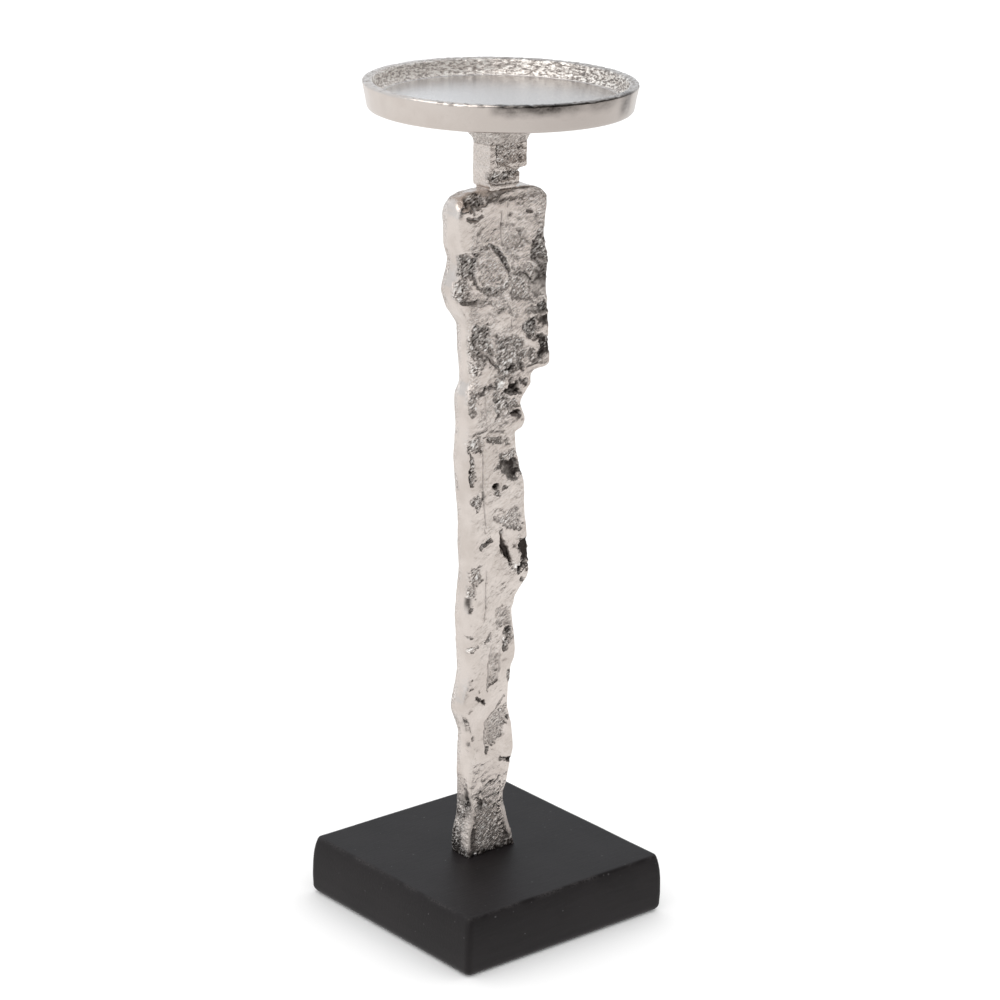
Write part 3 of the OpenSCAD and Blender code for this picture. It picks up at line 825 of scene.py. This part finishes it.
def plain_face(points, outline_at):
    """The other broad face, worked in the same manner by a seeded draw."""
    face = Face(points, 23, back_wear)
    draw = np.random.default_rng(2311)
    for _ in range(26):
        z = draw.uniform(34, 332)
        left, right = outline_at(z)
        x = draw.uniform(left, right)
        size = draw.uniform(3, 8)
        turns = np.sort(draw.uniform(0, 2 * math.pi, 7))
        reach = size * draw.uniform(0.5, 1.0, 7)
        corners = np.c_[x + reach * np.cos(turns), z + 1.5 * reach * np.sin(turns)]
        face.add_patch(draw.uniform(0.4, 1.6), draw.uniform(0.1, 0.55), draw.uniform(0.6, 1),
                       corners)
    for _ in range(46):
        z = draw.uniform(34, 336)
        left, right = outline_at(z)
        face.add_hollow(draw.uniform(left, right), z, draw.uniform(0.8, 3.2),
                        draw.uniform(0.6, 2.4), draw.uniform(-40, 40), draw.uniform(0.5, 2.3),
                        draw.uniform(0.4, 1), draw.uniform(0.1, 0.8))
    for _ in range(34):
        z = draw.uniform(40, 330)
        left, right = outline_at(z)
        x = draw.uniform(left + 1, right - 1)
        lean = draw.normal(0, 0.5)
        length = draw.uniform(4, 13)
        line = [(x + lean * length * t + draw.normal(0, 0.5), z + length * (t - 0.5))
                for t in (0, 0.33, 0.66, 1)]
        face.add_cut(draw.uniform(0.7, 2.2), draw.uniform(0.4, 1.4), draw.uniform(0.3, 0.9),
                     draw.uniform(0, 0.6), line)
    for _ in range(16):
        z = draw.uniform(60, 330)
        left, right = outline_at(z)
        face.add_knob(draw.uniform(left, right), z, draw.uniform(2, 5), draw.uniform(2, 6),
                      draw.uniform(-30, 30), draw.uniform(0.3, 0.7))
    for _ in range(22):
        z = draw.uniform(40, 330)
        left, right = outline_at(z)
        face.add_glint(draw.uniform(left, right), z, draw.uniform(0.8, 2.4),
                      draw.uniform(0.6, 1.6), draw.uniform(-30, 30))
    return face


def stem_slab(sizes):
    """The stem as a bmesh with its worked faces, and its marks."""
    left, right, top, thickness = stem_outline()
    left = even_curve(left, 0.3, 1.0)
    right = even_curve(right, 0.3, 0.7)
    top = even_curve(top, 0.3, 0.7)
    left[:, 0] -= ROUNDING_ROOM * smooth_step(28, 34, left[:, 1])
    right[:, 0] += ROUNDING_ROOM * smooth_step(28, 34, right[:, 1])
    top[:, 0] += ROUNDING_ROOM * np.linspace(-1, 1, len(top))
    left[-1] = top[0]
    right[-1] = top[-1]
    left_at, right_at = spread(left), spread(right)
    top_at = np.linspace(0, 1, len(top))
    mesh = box_grid((sizes.cells_across, sizes.cells_through, sizes.cells_up))
    unit = get_points(mesh)
    u = (unit[:, 0] + 1) / 2
    v = (unit[:, 2] + 1) / 2
    side = unit[:, 1]

    def along(line, at, t):
        return np.stack([np.interp(t, at, line[:, i]) for i in (0, 1)], 1)

    edge_l, edge_r, edge_t = along(left, left_at, v), along(right, right_at, v), along(top, top_at, u)
    foot = np.outer(1 - u, left[0]) + np.outer(u, right[0])
    flat = (edge_l * (1 - u)[:, None] + edge_r * u[:, None]
            + foot * (1 - v)[:, None] + edge_t * v[:, None]
            - np.outer((1 - u) * (1 - v), left[0]) - np.outer(u * (1 - v), right[0])
            - np.outer((1 - u) * v, top[0]) - np.outer(u * v, top[-1]))

    # Distance to the outline and the way in from it, for rounding the edges
    ring = np.vstack([left, top[1:-1], right[::-1]])
    run = np.gradient(ring, axis=0)
    run /= np.linalg.norm(run, axis=1)[:, None]
    inward = np.c_[run[:, 1], -run[:, 0]]
    tree = kdtree.KDTree(len(ring))
    for i, spot in enumerate(ring):
        tree.insert((spot[0], spot[1], 0), i)
    tree.balance()
    nearest = np.array([tree.find((p[0], p[1], 0))[1] for p in flat])
    way = inward[nearest]
    depth_in = np.clip(((flat - ring[nearest]) * way).sum(1), 0, None)
    on_rim = (u < 1e-6) | (u > 1 - 1e-6) | (v > 1 - 1e-6)
    depth_in[on_rim] = 0

    half = np.interp(flat[:, 1], *thickness.T)
    e = half * (1 - np.abs(side))
    # The front left edge is worn round, and the other three are crisper
    radius = 1.8 * smooth_step(-6, -14, flat[:, 0]) * smooth_step(58, 72, flat[:, 1])
    radius += 1.6 * smooth_step(326, 338, flat[:, 1]) * smooth_step(2, -16, flat[:, 0])
    radius = 0.8 + radius * (side < 0)
    round_off = (depth_in < radius) & (e < radius) & ((depth_in < 1e-6) | (e < 1e-6))
    new_in, new_e = round_edge(depth_in, e, radius, round_off)
    flat = flat + way * (new_in - depth_in)[:, None]
    y = np.sign(side) * (half - new_e)
    y[side == 0] = 0

    # Relief of the two broad faces, shared out through the thickness
    def outline_at(z):
        return np.interp(z, left[:, 1], left[:, 0]), np.interp(z, right[:, 1], right[:, 0])

    front = worked_face(flat)
    back = plain_face(flat, outline_at)
    sunk_front = front.height(sizes.relief)
    sunk_back = back.height(sizes.relief)
    # The other face's marks stop short of the outline, which is smooth from both sides
    inside = smooth_step(0.5, 4.0, new_in)
    sunk_back = sunk_back * (0.15 + 0.85 * inside)
    back.dark *= inside
    back.glint *= inside
    sunk_front = sunk_front * (0.4 + 0.6 * smooth_step(0.0, 2.2, new_in))
    limit = 0.72 * half
    sunk_front = np.minimum(sunk_front, limit)
    sunk_back = np.minimum(sunk_back, limit)
    through = (y + half) / (2 * half)
    y = -half + sunk_front + through * (2 * half - sunk_front - sunk_back)

    # Narrow sides: a gentle swell, and the rough foot
    solid = np.c_[flat[:, 0], y, flat[:, 1]]
    swell = Grain(51)
    rim = smooth_step(1.2, 0, new_in)
    outward = -way
    wave = swell(solid, 7.0, 2) * 0.25 + swell(solid + 30, 2.2) * 0.07
    foot_side = smooth_step(59, 52, solid[:, 2] + swell(solid, 3.0) * 4) * rim
    wavering = np.c_[y + 1.5 * swell(solid + 9, 3.5), flat[:, 1]]
    gap = line_distance(wavering, [(-3.2, 59), (-2.2, 52), (-1.5, 47)])[0]
    crevice = smooth_step(1.2, 0.2, gap - 0.7) * rim * smooth_step(-8, -10, flat[:, 0])
    wave = wave - np.abs(swell(solid + 70, 1.8, 2)) * 0.8 * foot_side - 0.2 * crevice
    flat = flat + outward * (wave * rim)[:, None]
    solid = np.c_[flat[:, 0], y, flat[:, 1]]

    # Marks fade from each broad face into the thickness
    front_share = smooth_step(0.42, 0.12, through)
    back_share = smooth_step(0.58, 0.88, through)
    dark = front.dark * front_share + back.dark * back_share
    rough = front.rough * front_share + back.rough * back_share
    glint = front.glint * front_share + back.glint * back_share
    # Painted shade in a band along the foot where it meets the block, rising toward the back on the left
    foot_shade_level = 29.5 + 0.75 * (y + half) * smooth_step(-8, -13, flat[:, 0])
    foot_contact_shade = smooth_step(foot_shade_level + 2.5, foot_shade_level - 1.5, solid[:, 2] + swell(solid, 2.5) * 2)
    # Darker mottling on the foot's narrow sides, and painted shade in the crevice
    foot_mottle = np.clip(0.5 + 0.6 * swell(solid + 44, 6.0, 2), 0.05, 0.9)
    dark = np.maximum(dark, foot_mottle * foot_side + 0.7 * crevice)
    dark = np.maximum(dark, 0.95 * foot_contact_shade)
    rough = np.maximum(rough, 0.6 * foot_side)
    # Painted highlight: the foot's front edges are lighter, smoother and less metallic
    highlight_width = np.where(flat[:, 0] > 0, 3.0, 2.0)
    ridge_highlight = smooth_step(highlight_width, highlight_width * 0.5, new_in) * smooth_step(0.5, 0.3, through) \
        * smooth_step(54, 47, solid[:, 2]) * smooth_step(30, 34, solid[:, 2])
    dark *= 1 - 0.85 * ridge_highlight
    rough *= 1 - 0.7 * ridge_highlight
    glint = np.maximum(glint, 0.6 * ridge_highlight)
    set_points(mesh, solid)
    return mesh, np.c_[dark, rough, glint]


# ---------------------------------------------------------------- the other pieces

def block_bmesh(rows, half_y, counts, radius, face_marks, seed, coarse):
    """A short cast block: rows of (z, left x, right x), a half thickness by height and marks."""
    rows = np.array(rows, float)
    mesh = box_grid(counts)
    unit = get_points(mesh)
    left = even_curve(rows[:, [1, 0]], 0.1, 0.25)
    right = even_curve(rows[:, [2, 0]], 0.1, 0.25)
    left_at, right_at = spread(left, 1.0), spread(right, 1.0)
    u, v, side = (unit[:, 0] + 1) / 2, (unit[:, 2] + 1) / 2, unit[:, 1]
    lx, lz = (np.interp(v, left_at, left[:, i]) for i in (0, 1))
    rx, rz = (np.interp(v, right_at, right[:, i]) for i in (0, 1))
    x = lx + (rx - lx) * u
    z = lz + (rz - lz) * u
    half = np.interp(z, *np.array(half_y, float).T)
    y = side * half
    # Rounded upright edges
    inner_x = np.minimum(x - lx, rx - x)
    inner_y = half - np.abs(y)
    cut = (inner_x < radius) & (inner_y < radius)
    new_x, new_y = round_edge(inner_x, inner_y, radius, cut)
    x = x + np.where(u < 0.5, 1, -1) * (new_x - inner_x)
    y = y - np.sign(side) * (new_y - inner_y)
    face = Face(np.c_[x, z], seed, lambda spots: np.full(len(spots), coarse * 1.6))
    for kind, values in face_marks:
        getattr(face, kind)(*values)
    sunk = face.height() * smooth_step(0.9, 0.1, (y + half) / (2 * half))
    y = y + sunk
    solid = np.c_[x, y, z]
    grain = Grain(seed + 5)
    rough_all = grain(solid, 2.0, 2) * coarse
    middle = np.c_[(lx + rx) / 2, np.zeros(len(x))]
    out = np.c_[x, y] - middle
    out /= np.maximum(np.linalg.norm(out, axis=1), 1e-9)[:, None]
    caps = (v > 1e-6) & (v < 1 - 1e-6)
    solid[:, :2] += out * (rough_all * caps)[:, None]
    front_share = smooth_step(0.4, 0.1, (y + half) / (2 * half))
    marks = np.c_[face.dark * front_share, np.maximum(face.rough * front_share, coarse * 1.6),
                  face.glint * front_share]
    set_points(mesh, solid)
    return mesh, marks


# The dish: its pan's height, how deep the floor lies below the rim, and the steps round its axis
PAN_HEIGHT, PAN_DEPTH, PAN_STEPS = 12.4, 7.4, 480
# The block: its cells along x, y and z, its recess, its bolt's hole, and the sides of a round hole
BLOCK_CELLS = (110, 110, 24)
RECESS_DEPTH, RECESS_RADIUS = 10, 11.0
BOLT_HOLE_RADIUS = 3.3
HOLE_SIDES = 64


def bore(piece, cutters):
    """Drills round holes on the axis: each is low z, high z and radius, in millimetres."""
    for low, high, radius in cutters:
        mesh = bmesh.new()
        bmesh.ops.create_cone(mesh, cap_ends=True, segments=HOLE_SIDES, radius1=radius * MM,
                              radius2=radius * MM, depth=(high - low) * MM)
        bmesh.ops.translate(mesh, verts=mesh.verts[:], vec=(0, 0, (low + high) / 2 * MM))
        cutter = new_object(mesh, "cutter")
        modifier = piece.modifiers.new("bore", "BOOLEAN")
        modifier.operation = "DIFFERENCE"
        modifier.object = cutter
        modifier.solver = "EXACT"
        bpy.context.view_layer.update()
        cut = bpy.data.meshes.new_from_object(
            piece.evaluated_get(bpy.context.evaluated_depsgraph_get()))
        piece.modifiers.clear()
        spent = (piece.data, cutter.data)
        piece.data = cut
        bpy.data.objects.remove(cutter)
        for data in spent:
            bpy.data.meshes.remove(data)


class CANDLESTICK_PG_sizes(bpy.types.PropertyGroup):
    """Sizes and cell counts of the candlestick."""
    relief: FloatProperty(name="Relief", description="How deep the worked marks go",
                          default=1.0, min=0.0, max=1.5, subtype="FACTOR")
    cells_across: IntProperty(name="Cells across", description="Cells across the stem",
                              default=80, min=8, max=120)
    cells_through: IntProperty(name="Cells through", default=12, min=2, max=24,
                               description="Cells through the stem's thickness")
    cells_up: IntProperty(name="Cells up", description="Cells up the stem",
                          default=500, min=40, max=600)


class CANDLESTICK_PG_finishes(bpy.types.PropertyGroup):
    """Colours of the candlestick."""
    metal_colour: FloatVectorProperty(name="Metal", description="Worn bright metal",
                                      subtype="COLOR", size=3, default=(0.74, 0.675, 0.63))
    metal_shade: FloatVectorProperty(name="Metal shade", description="Duller patches of the metal",
                                     subtype="COLOR", size=3, default=(0.66, 0.595, 0.55))
    # Painted shade: the dark colour that the painted shade in the hollows and the dish's painted
    # reflections blend toward
    painted_shade_colour: FloatVectorProperty(name="Hollows", description="Dark metal in the hollows",
                                       subtype="COLOR", size=3, default=(0.045, 0.037, 0.033))
    floor_metal: FloatVectorProperty(name="Dish floor", description="Cooler metal of the dish floor",
                                     subtype="COLOR", size=3, default=(0.64, 0.62, 0.615))
    base_colour: FloatVectorProperty(name="Base", description="Matt black paint",
                                     subtype="COLOR", size=3, default=(0.0095, 0.0078, 0.0083))
    floor_colour: FloatVectorProperty(name="Floor", description="Plain pale floor",
                                      subtype="COLOR", size=3, default=(0.93, 0.93, 0.93))


# The camera: its angles in degrees, lens and sensor in millimetres, and aim and distance in metres
CAMERA_TURN, CAMERA_TILT, CAMERA_ROLL = -40.21, 17.915, 1.1275
CAMERA_LENS, CAMERA_SENSOR = 111.2, 36.0
CAMERA_AIM, CAMERA_DISTANCE = Vector((6.35, 2.61, 194.85)) * MM, 1.3901
# Half the width of the floor, in metres
FLOOR_SIZE = 12.0
# Level directions of the set, seen from the camera: to its right and straight away from it
RIGHT = Vector((math.cos(math.radians(CAMERA_TURN)), math.sin(math.radians(CAMERA_TURN)), 0))
AWAY = Vector((-RIGHT.y, RIGHT.x, 0))


def studio_world():
    """White all round, with one darker side that only shows in reflections."""
    world = bpy.data.worlds.new("studio")
    world.use_nodes = True
    n = Nodes(world.node_tree)
    background = n.nodes["Background"]
    way = n.node("ShaderNodeTexCoord", output="Generated")
    lit_side = n.band(n.lean(way, AWAY * 0.40 - RIGHT * 0.90), -0.85, 0.35)
    soft_box = n.band(n.lean(way, Vector((0, 0, 0.80)) - RIGHT * 0.45 - AWAY * 0.38), 0.74, 0.92)
    mirrored = n.mix(lit_side, (0.05, 0.043, 0.04), (0.88, 0.92, 0.96))
    mirrored = n.mix(soft_box, mirrored, (2.3, 2.25, 2.2))
    in_mirror = n.node("ShaderNodeLightPath", output="Is Glossy Ray")
    n.feed(background.inputs["Color"], n.mix(in_mirror, (1.3, 1.3, 1.3), mirrored))
    return world


def mirrored_floor():
    """The floor as the metal mirrors it: bright on the left and duller on the right."""
    m = Material("mirrored_floor")
    spot = m.node("ShaderNodeTexCoord", output="Object")
    side = m.band(m.lean(spot, AWAY * 0.55 - RIGHT * 0.85), -1.2, -0.5)
    tone = m.mix(side, (0.89, 0.87, 0.855), (1.0, 0.995, 0.99))
    m.set(Base_Color=(0, 0, 0, 1), Specular_IOR_Level=0.0, Emission_Color=tone,
          Emission_Strength=1.0)
    return m.material


def floor_sheet(name, material):
    """A wide flat sheet for the object to stand on."""
    mesh = bmesh.new()
    bmesh.ops.create_grid(mesh, x_segments=1, y_segments=1, size=FLOOR_SIZE)
    sheet = new_object(mesh, name)
    sheet.data.materials.append(material)
    return sheet


class CANDLESTICK_OT_stage(bpy.types.Operator):
    """Makes the plain pale floor, the soft light and the camera"""
    bl_idname = "candlestick.stage"
    bl_label = "Stage"

    def execute(self, context):
        scene = context.scene
        m = Material("floor_paper")
        m.set(Base_Color=(*scene.candlestick_finishes.floor_colour, 1), Roughness=0.9,
              Specular_IOR_Level=0.1)
        floor = floor_sheet("floor", m.material)
        floor.visible_glossy = False
        mirrored = floor_sheet("mirrored_floor", mirrored_floor())
        for sight in ("camera", "diffuse", "shadow", "transmission", "volume_scatter"):
            setattr(mirrored, "visible_" + sight, False)
        scene.world = studio_world()

        tilt, roll = math.radians(CAMERA_TILT), math.radians(CAMERA_ROLL)
        back = Vector((0, 0, math.sin(tilt))) - AWAY * math.cos(tilt)
        up = back.cross(RIGHT)
        across = RIGHT * math.cos(roll) + up * math.sin(roll)
        upward = up * math.cos(roll) - RIGHT * math.sin(roll)
        camera = bpy.data.cameras.new("camera")
        camera.lens = CAMERA_LENS
        camera.sensor_width = CAMERA_SENSOR
        camera.clip_end = 100.0
        holder = bpy.data.objects.new("camera", camera)
        place = CAMERA_AIM + back * CAMERA_DISTANCE
        turn = Matrix((across, upward, back)).transposed().to_4x4()
        holder.matrix_world = Matrix.Translation(place) @ turn
        scene.collection.objects.link(holder)
        scene.camera = holder
        scene.view_settings.view_transform = "Standard"
        return {"FINISHED"}


class CANDLESTICK_OT_stem(bpy.types.Operator):
    """Makes the rough-cast slab stem"""
    bl_idname = "candlestick.stem"
    bl_label = "Stem"

    def execute(self, context):
        scene = context.scene
        mesh, marks = stem_slab(scene.candlestick_sizes)
        metal = shared_finish("cast", cast_metal, scene.candlestick_finishes)
        piece = finish_piece(mesh, "cast_stem", metal, marks)
        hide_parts("stem")
        return {"FINISHED"}


class CANDLESTICK_OT_neck(bpy.types.Operator):
    """Makes the stepped neck and the flared boss under the dish"""
    bl_idname = "candlestick.neck"
    bl_label = "Neck and boss"

    def execute(self, context):
        metal = shared_finish("cast", cast_metal, context.scene.candlestick_finishes)
        low, high = node_box("neck")
        foot, top = low[2], high[2]
        rows = [(foot, -9, 5.6), (foot + 1.2, -9.1, 5.8), (foot + 1.7, -9.9, 6.8),
                (348.4, -10.3, 7), (348.7, -10.3, 10.4), (349.2, -10.3, 11),
                (top, -10.2, 11.1)]
        # The neck's marks; their dark values are painted shade, deepest along its foot above the stem
        marks = [
            ("add_patch", (0.6, 0.12, 0.9, [(-6.3, 362), (9.2, 362), (9.2, 351.6), (8, 351),
                                           (-5.5, 351.2), (-6.6, 354)])),
            ("add_patch", (1.0, 0.45, 1, [(-10.4, 348.2), (7.5, 348.4), (7.5, 345.5), (3, 344),
                                          (-4, 342.8), (-10, 342.6)])),
            ("add_cut", (1.2, 0.8, 0.9, 0.2, [(-6.4, 360), (-6.2, 351)])),
            ("add_patch", (1.0, 0.7, 0.9, [(-6.4, 361), (-2, 361), (-3, 357), (-6.2, 356)])),
            ("add_cut", (0.8, 0.7, 0.7, 0.2, [(-10.2, 348), (-9.9, 343)])),
            ("add_cut", (1.0, 0.6, 0.6, 0.2, [(-9.8, 342.4), (6, 342)])),
        ]
        mesh, values = block_bmesh(rows, [(foot, 4.9), (foot + 1.2, 5), (foot + 1.7, 6), (370, 6)],
                                   (52, 30, 52), 0.8, marks, 61, 0.12)
        piece = finish_piece(mesh, "cast_neck", metal, values)
        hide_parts("neck")

        low = node_box("dish")[0]
        rows = [(low[2], -10.2, 10.9), (low[2] + 1.6, -10.3, 11.2), (low[2] + 4, -12, 13),
                (374.2, -13.2, 14.6)]
        mesh, values = block_bmesh(rows, [(low[2], 6.1), (low[2] + 1.6, 6.3), (low[2] + 4, 7.6),
                                          (374.2, 8.6)], (56, 34, 36), 1.2, [], 63, 0.3)
        # The boss carries an even, light painted shade and is half rough
        values[:, :2] = (0.14, 0.5)
        boss = finish_piece(mesh, "dish_boss", metal, values)
        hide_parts("dish")
        return {"FINISHED"}


class CANDLESTICK_OT_dish(bpy.types.Operator):
    """Makes the round dish with its rough inner wall and its painted reflections and shade"""
    bl_idname = "candlestick.dish"
    bl_label = "Dish"

    def execute(self, context):
        high = node_box("dish")[1]
        rim, top = high[0], high[2]
        under, floor = top - PAN_HEIGHT, top - PAN_DEPTH
        outline = [(0.0, under), (20, under), (40, under), (rim - 3.6, under),
                   (rim - 2.6, under + 0.25), (rim - 2.1, under + 0.8), (rim - 1.9, under + 1.6),
                   (rim - 0.2, top - 1.6), (rim, top - 0.9), (rim - 0.35, top - 0.25),
                   (rim - 1.0, top), (rim - 3.4, top), (rim - 4.1, top - 0.35),
                   (rim - 4.4, top - 1), (rim - 5.2, floor + 2.2), (rim - 6.2, floor + 0.7),
                   (rim - 8, floor), (44, floor), (22, floor), (0.0, floor)]
        line = even_curve(outline, 0.62, 0.35)
        line[0], line[-1] = outline[0], outline[-1]
        line[:, 0] = np.maximum(line[:, 0], 0)
        # Flat parts need fewer rings than the wall
        keep = [i for i, p in enumerate(line) if p[0] > rim - 12 or i % 5 == 0 or i == len(line) - 1]
        line = line[keep]
        mesh = bmesh.new()
        verts = [mesh.verts.new((x * MM, 0, z * MM)) for x, z in line]
        edges = [mesh.edges.new(pair) for pair in zip(verts[:-1], verts[1:])]
        bmesh.ops.spin(mesh, geom=verts + edges, cent=(0, 0, 0), axis=(0, 0, 1),
                       angle=2 * math.pi, steps=PAN_STEPS, use_merge=True, use_duplicate=False)
        bmesh.ops.remove_doubles(mesh, verts=mesh.verts[:], dist=1e-6)
        mesh.verts.ensure_lookup_table()
        points = get_points(mesh) / MM
        radius = np.hypot(points[:, 0], points[:, 1])
        around = points[:, :2] / np.maximum(radius, 1e-6)[:, None]
        grain = Grain(31)
        inner = smooth_step(rim - 3.2, rim - 4.6, radius) * smooth_step(rim - 8.2, rim - 6.6, radius) \
            * smooth_step(floor - 0.3, floor + 0.2, points[:, 2])
        lip = smooth_step(rim - 4.8, rim - 3.6, radius) * smooth_step(top - 1.6, top - 0.2, points[:, 2])
        rough = grain(points, 2.2, 2)
        points[:, :2] += around * ((rough * 0.38 - 0.1) * inner)[:, None]
        points[:, 2] += rough * 0.2 * inner
        wavy = grain(points + 50, 6.0, 2)
        edge = lip * smooth_step(rim - 0.6, rim - 3.0, radius)
        points[:, :2] += around * (np.maximum(wavy, -0.4) * 0.5 * edge)[:, None]
        points[:, 2] -= (np.abs(wavy) * 0.22 + np.maximum(grain(points + 80, 2.2, 2), 0.1) * 0.9) * lip
        outer = smooth_step(rim - 3.4, rim - 2.6, radius)
        points[:, :2] += around * (np.minimum(grain(points + 9, 16.0, 2), 0) * 0.18 * outer)[:, None]
        brushed = smooth_step(floor + 0.4, floor - 0.1, points[:, 2]) \
            * smooth_step(floor - 1, floor - 0.4, points[:, 2]) \
            * smooth_step(rim - 4.5, rim - 6.5, radius)
        angle = np.degrees(np.arctan2(around[:, 1], around[:, 0]))
        # Painted dark reflections under the rim on part of the outside, darker nicks along the rim's
        # near edge, and painted shade on part of the inner wall
        low_edge = 3.4 + 2.0 * grain(np.c_[points[:, :2], 0 * radius], 8.0, 2)
        under_rim = smooth_step(low_edge + 3.6, low_edge * 0.3, top - points[:, 2])
        reflection_band = smooth_step(12.5, 5.0, top - points[:, 2])
        painted_reflection_shade = outer * (under_rim * smooth_step(-136, -130, angle) * smooth_step(-98, -112, angle)
                         + 0.6 * under_rim * smooth_step(-118, -110, angle)
                         * smooth_step(-70, -80, angle)
                         + 0.85 * reflection_band * smooth_step(-74, -67, angle)
                         * smooth_step(-58, -63, angle))
        nicks = smooth_step(1.7, 0.5, top - points[:, 2]) * smooth_step(rim - 2.5, rim - 1, radius) \
            * smooth_step(0.05, 0.3, grain(points + 40, 4.5, 2)) \
            * smooth_step(-165, -150, angle) * smooth_step(-50, -60, angle)
        painted_reflection_shade = np.maximum(painted_reflection_shade * (0.76 + 0.35 * grain(points * (1, 1, 2.5), 6.0, 2)), 0.8 * nicks)
        painted_reflection_shade = np.maximum(painted_reflection_shade, 0.3 * inner * smooth_step(-110, -60, angle)
                           * smooth_step(60, 20, angle))
        marks = np.c_[painted_reflection_shade, inner, brushed]
        set_points(mesh, points)
        piece = finish_piece(mesh, "cast_dish",
                             dish_metal(context.scene.candlestick_finishes), marks)
        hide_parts("dish")
        return {"FINISHED"}


class CANDLESTICK_OT_base(bpy.types.Operator):
    """Makes the pillow-sided black block"""
    bl_idname = "candlestick.base"
    bl_label = "Base block"

    def execute(self, context):
        low, high = node_box("base_block")
        side, foot, top = high[0], low[2], high[2]
        mesh = box_grid(BLOCK_CELLS)
        unit = get_points(mesh)
        corner, edge = 2.2, 0.7
        flat = unit[:, :2] * side
        inner = side - corner
        over = np.clip(np.abs(flat) - inner, 0, None)
        both = over.min(1) > 0
        scale = over.max(1) / np.maximum(np.hypot(*over.T), 1e-9)
        flat[both] = (np.sign(flat) * (inner + over * scale[:, None]))[both]
        over = np.clip(np.abs(flat) - inner, 0, None)
        depth_in = np.where(both, corner - np.hypot(*over.T), side - np.abs(flat).max(1))
        depth_in = np.clip(depth_in, 0, None)
        z = foot + (unit[:, 2] + 1) / 2 * (top - foot)
        e = top - z
        upper = unit[:, 2] > 1 - 1e-6
        round_off = (depth_in < edge) & (e < edge) & (upper | (depth_in < 1e-4))
        new_in, drop = round_edge(depth_in, e, edge, round_off)
        z = np.where(round_off, top - drop, z)
        centre_way = flat / np.maximum(np.abs(flat).max(1), 1e-9)[:, None]
        flat = flat - centre_way * (new_in - depth_in)[:, None]
        profile = np.array([(foot, 0.978), (foot + 0.7, 0.989), (foot + 2, 0.996), (9, 1.0),
                            (16, 0.998), (20.5, 0.993), (24, 0.984), (26, 0.976), (top, 0.967)])
        flat = flat * np.interp(z, *profile.T)[:, None]
        points = np.c_[flat, z]
        grain = Grain(77)
        points[:, 2] += np.where(upper, grain(points, 30.0) * 0.12 + grain(points, 4.0) * 0.015, 0)
        set_points(mesh, points)
        # Lighter along the top edges, unevenly
        edge_lightening = smooth_step(1.6, 0.3, np.maximum(top - z, depth_in)) \
            * (0.6 + grain(points + 15, 9.0, 2))
        marks = np.c_[edge_lightening, 0 * edge_lightening, 0 * edge_lightening]
        piece = finish_piece(mesh, "block",
                             black_paint(context.scene.candlestick_finishes), marks)
        bore(piece, [(foot - 5, foot + RECESS_DEPTH, RECESS_RADIUS),
                     (foot - 6, top + 5, BOLT_HOLE_RADIUS)])
        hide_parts("base_block")
        return {"FINISHED"}


class CANDLESTICK_OT_fixings(bpy.types.Operator):
    """Gives the bolt, the stud, the washers, the pin and the pads their finish"""
    bl_idname = "candlestick.fixings"
    bl_label = "Fixings"

    def execute(self, context):
        plated = plated_steel("zinc_steel", (0.6, 0.61, 0.63), 0.3)
        spring = plated_steel("spring_steel", (0.42, 0.43, 0.45), 0.4)
        felt = black_felt()
        for node, material in (("base_bolt", plated), ("flat_washer", plated),
                               ("locating_pin", plated), ("top_stud", plated),
                               ("spring_washer", spring), ("felt_pads", felt)):
            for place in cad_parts[node].material_slots:
                place.material = material
        return {"FINISHED"}


class CANDLESTICK_PT_panel(bpy.types.Panel):
    """Lists the candlestick's sizes, colours and pieces"""
    bl_idname = "CANDLESTICK_PT_panel"
    bl_label = "Candlestick"
    bl_space_type = "VIEW_3D"
    bl_region_type = "UI"
    bl_category = "Candlestick"

    def draw(self, context):
        for group in (context.scene.candlestick_sizes, context.scene.candlestick_finishes):
            for name in group.__annotations__:
                self.layout.prop(group, name)
        for operator in OPERATORS:
            self.layout.operator(operator.bl_idname)


OPERATORS = (CANDLESTICK_OT_stage, CANDLESTICK_OT_stem, CANDLESTICK_OT_neck,
             CANDLESTICK_OT_dish, CANDLESTICK_OT_base, CANDLESTICK_OT_fixings)
CLASSES = (CANDLESTICK_PG_sizes, CANDLESTICK_PG_finishes, *OPERATORS, CANDLESTICK_PT_panel)


def register():
    for one in CLASSES:
        bpy.utils.register_class(one)
    bpy.types.Scene.candlestick_sizes = PointerProperty(type=CANDLESTICK_PG_sizes)
    bpy.types.Scene.candlestick_finishes = PointerProperty(type=CANDLESTICK_PG_finishes)


def unregister():
    del bpy.types.Scene.candlestick_finishes
    del bpy.types.Scene.candlestick_sizes
    for one in reversed(CLASSES):
        bpy.utils.unregister_class(one)


def main():
    """Builds the whole candlestick."""
    register()
    for operator in OPERATORS:
        group, name = operator.bl_idname.split(".")
        getattr(getattr(bpy.ops, group), name)()


if __name__ == "__main__":
    main()
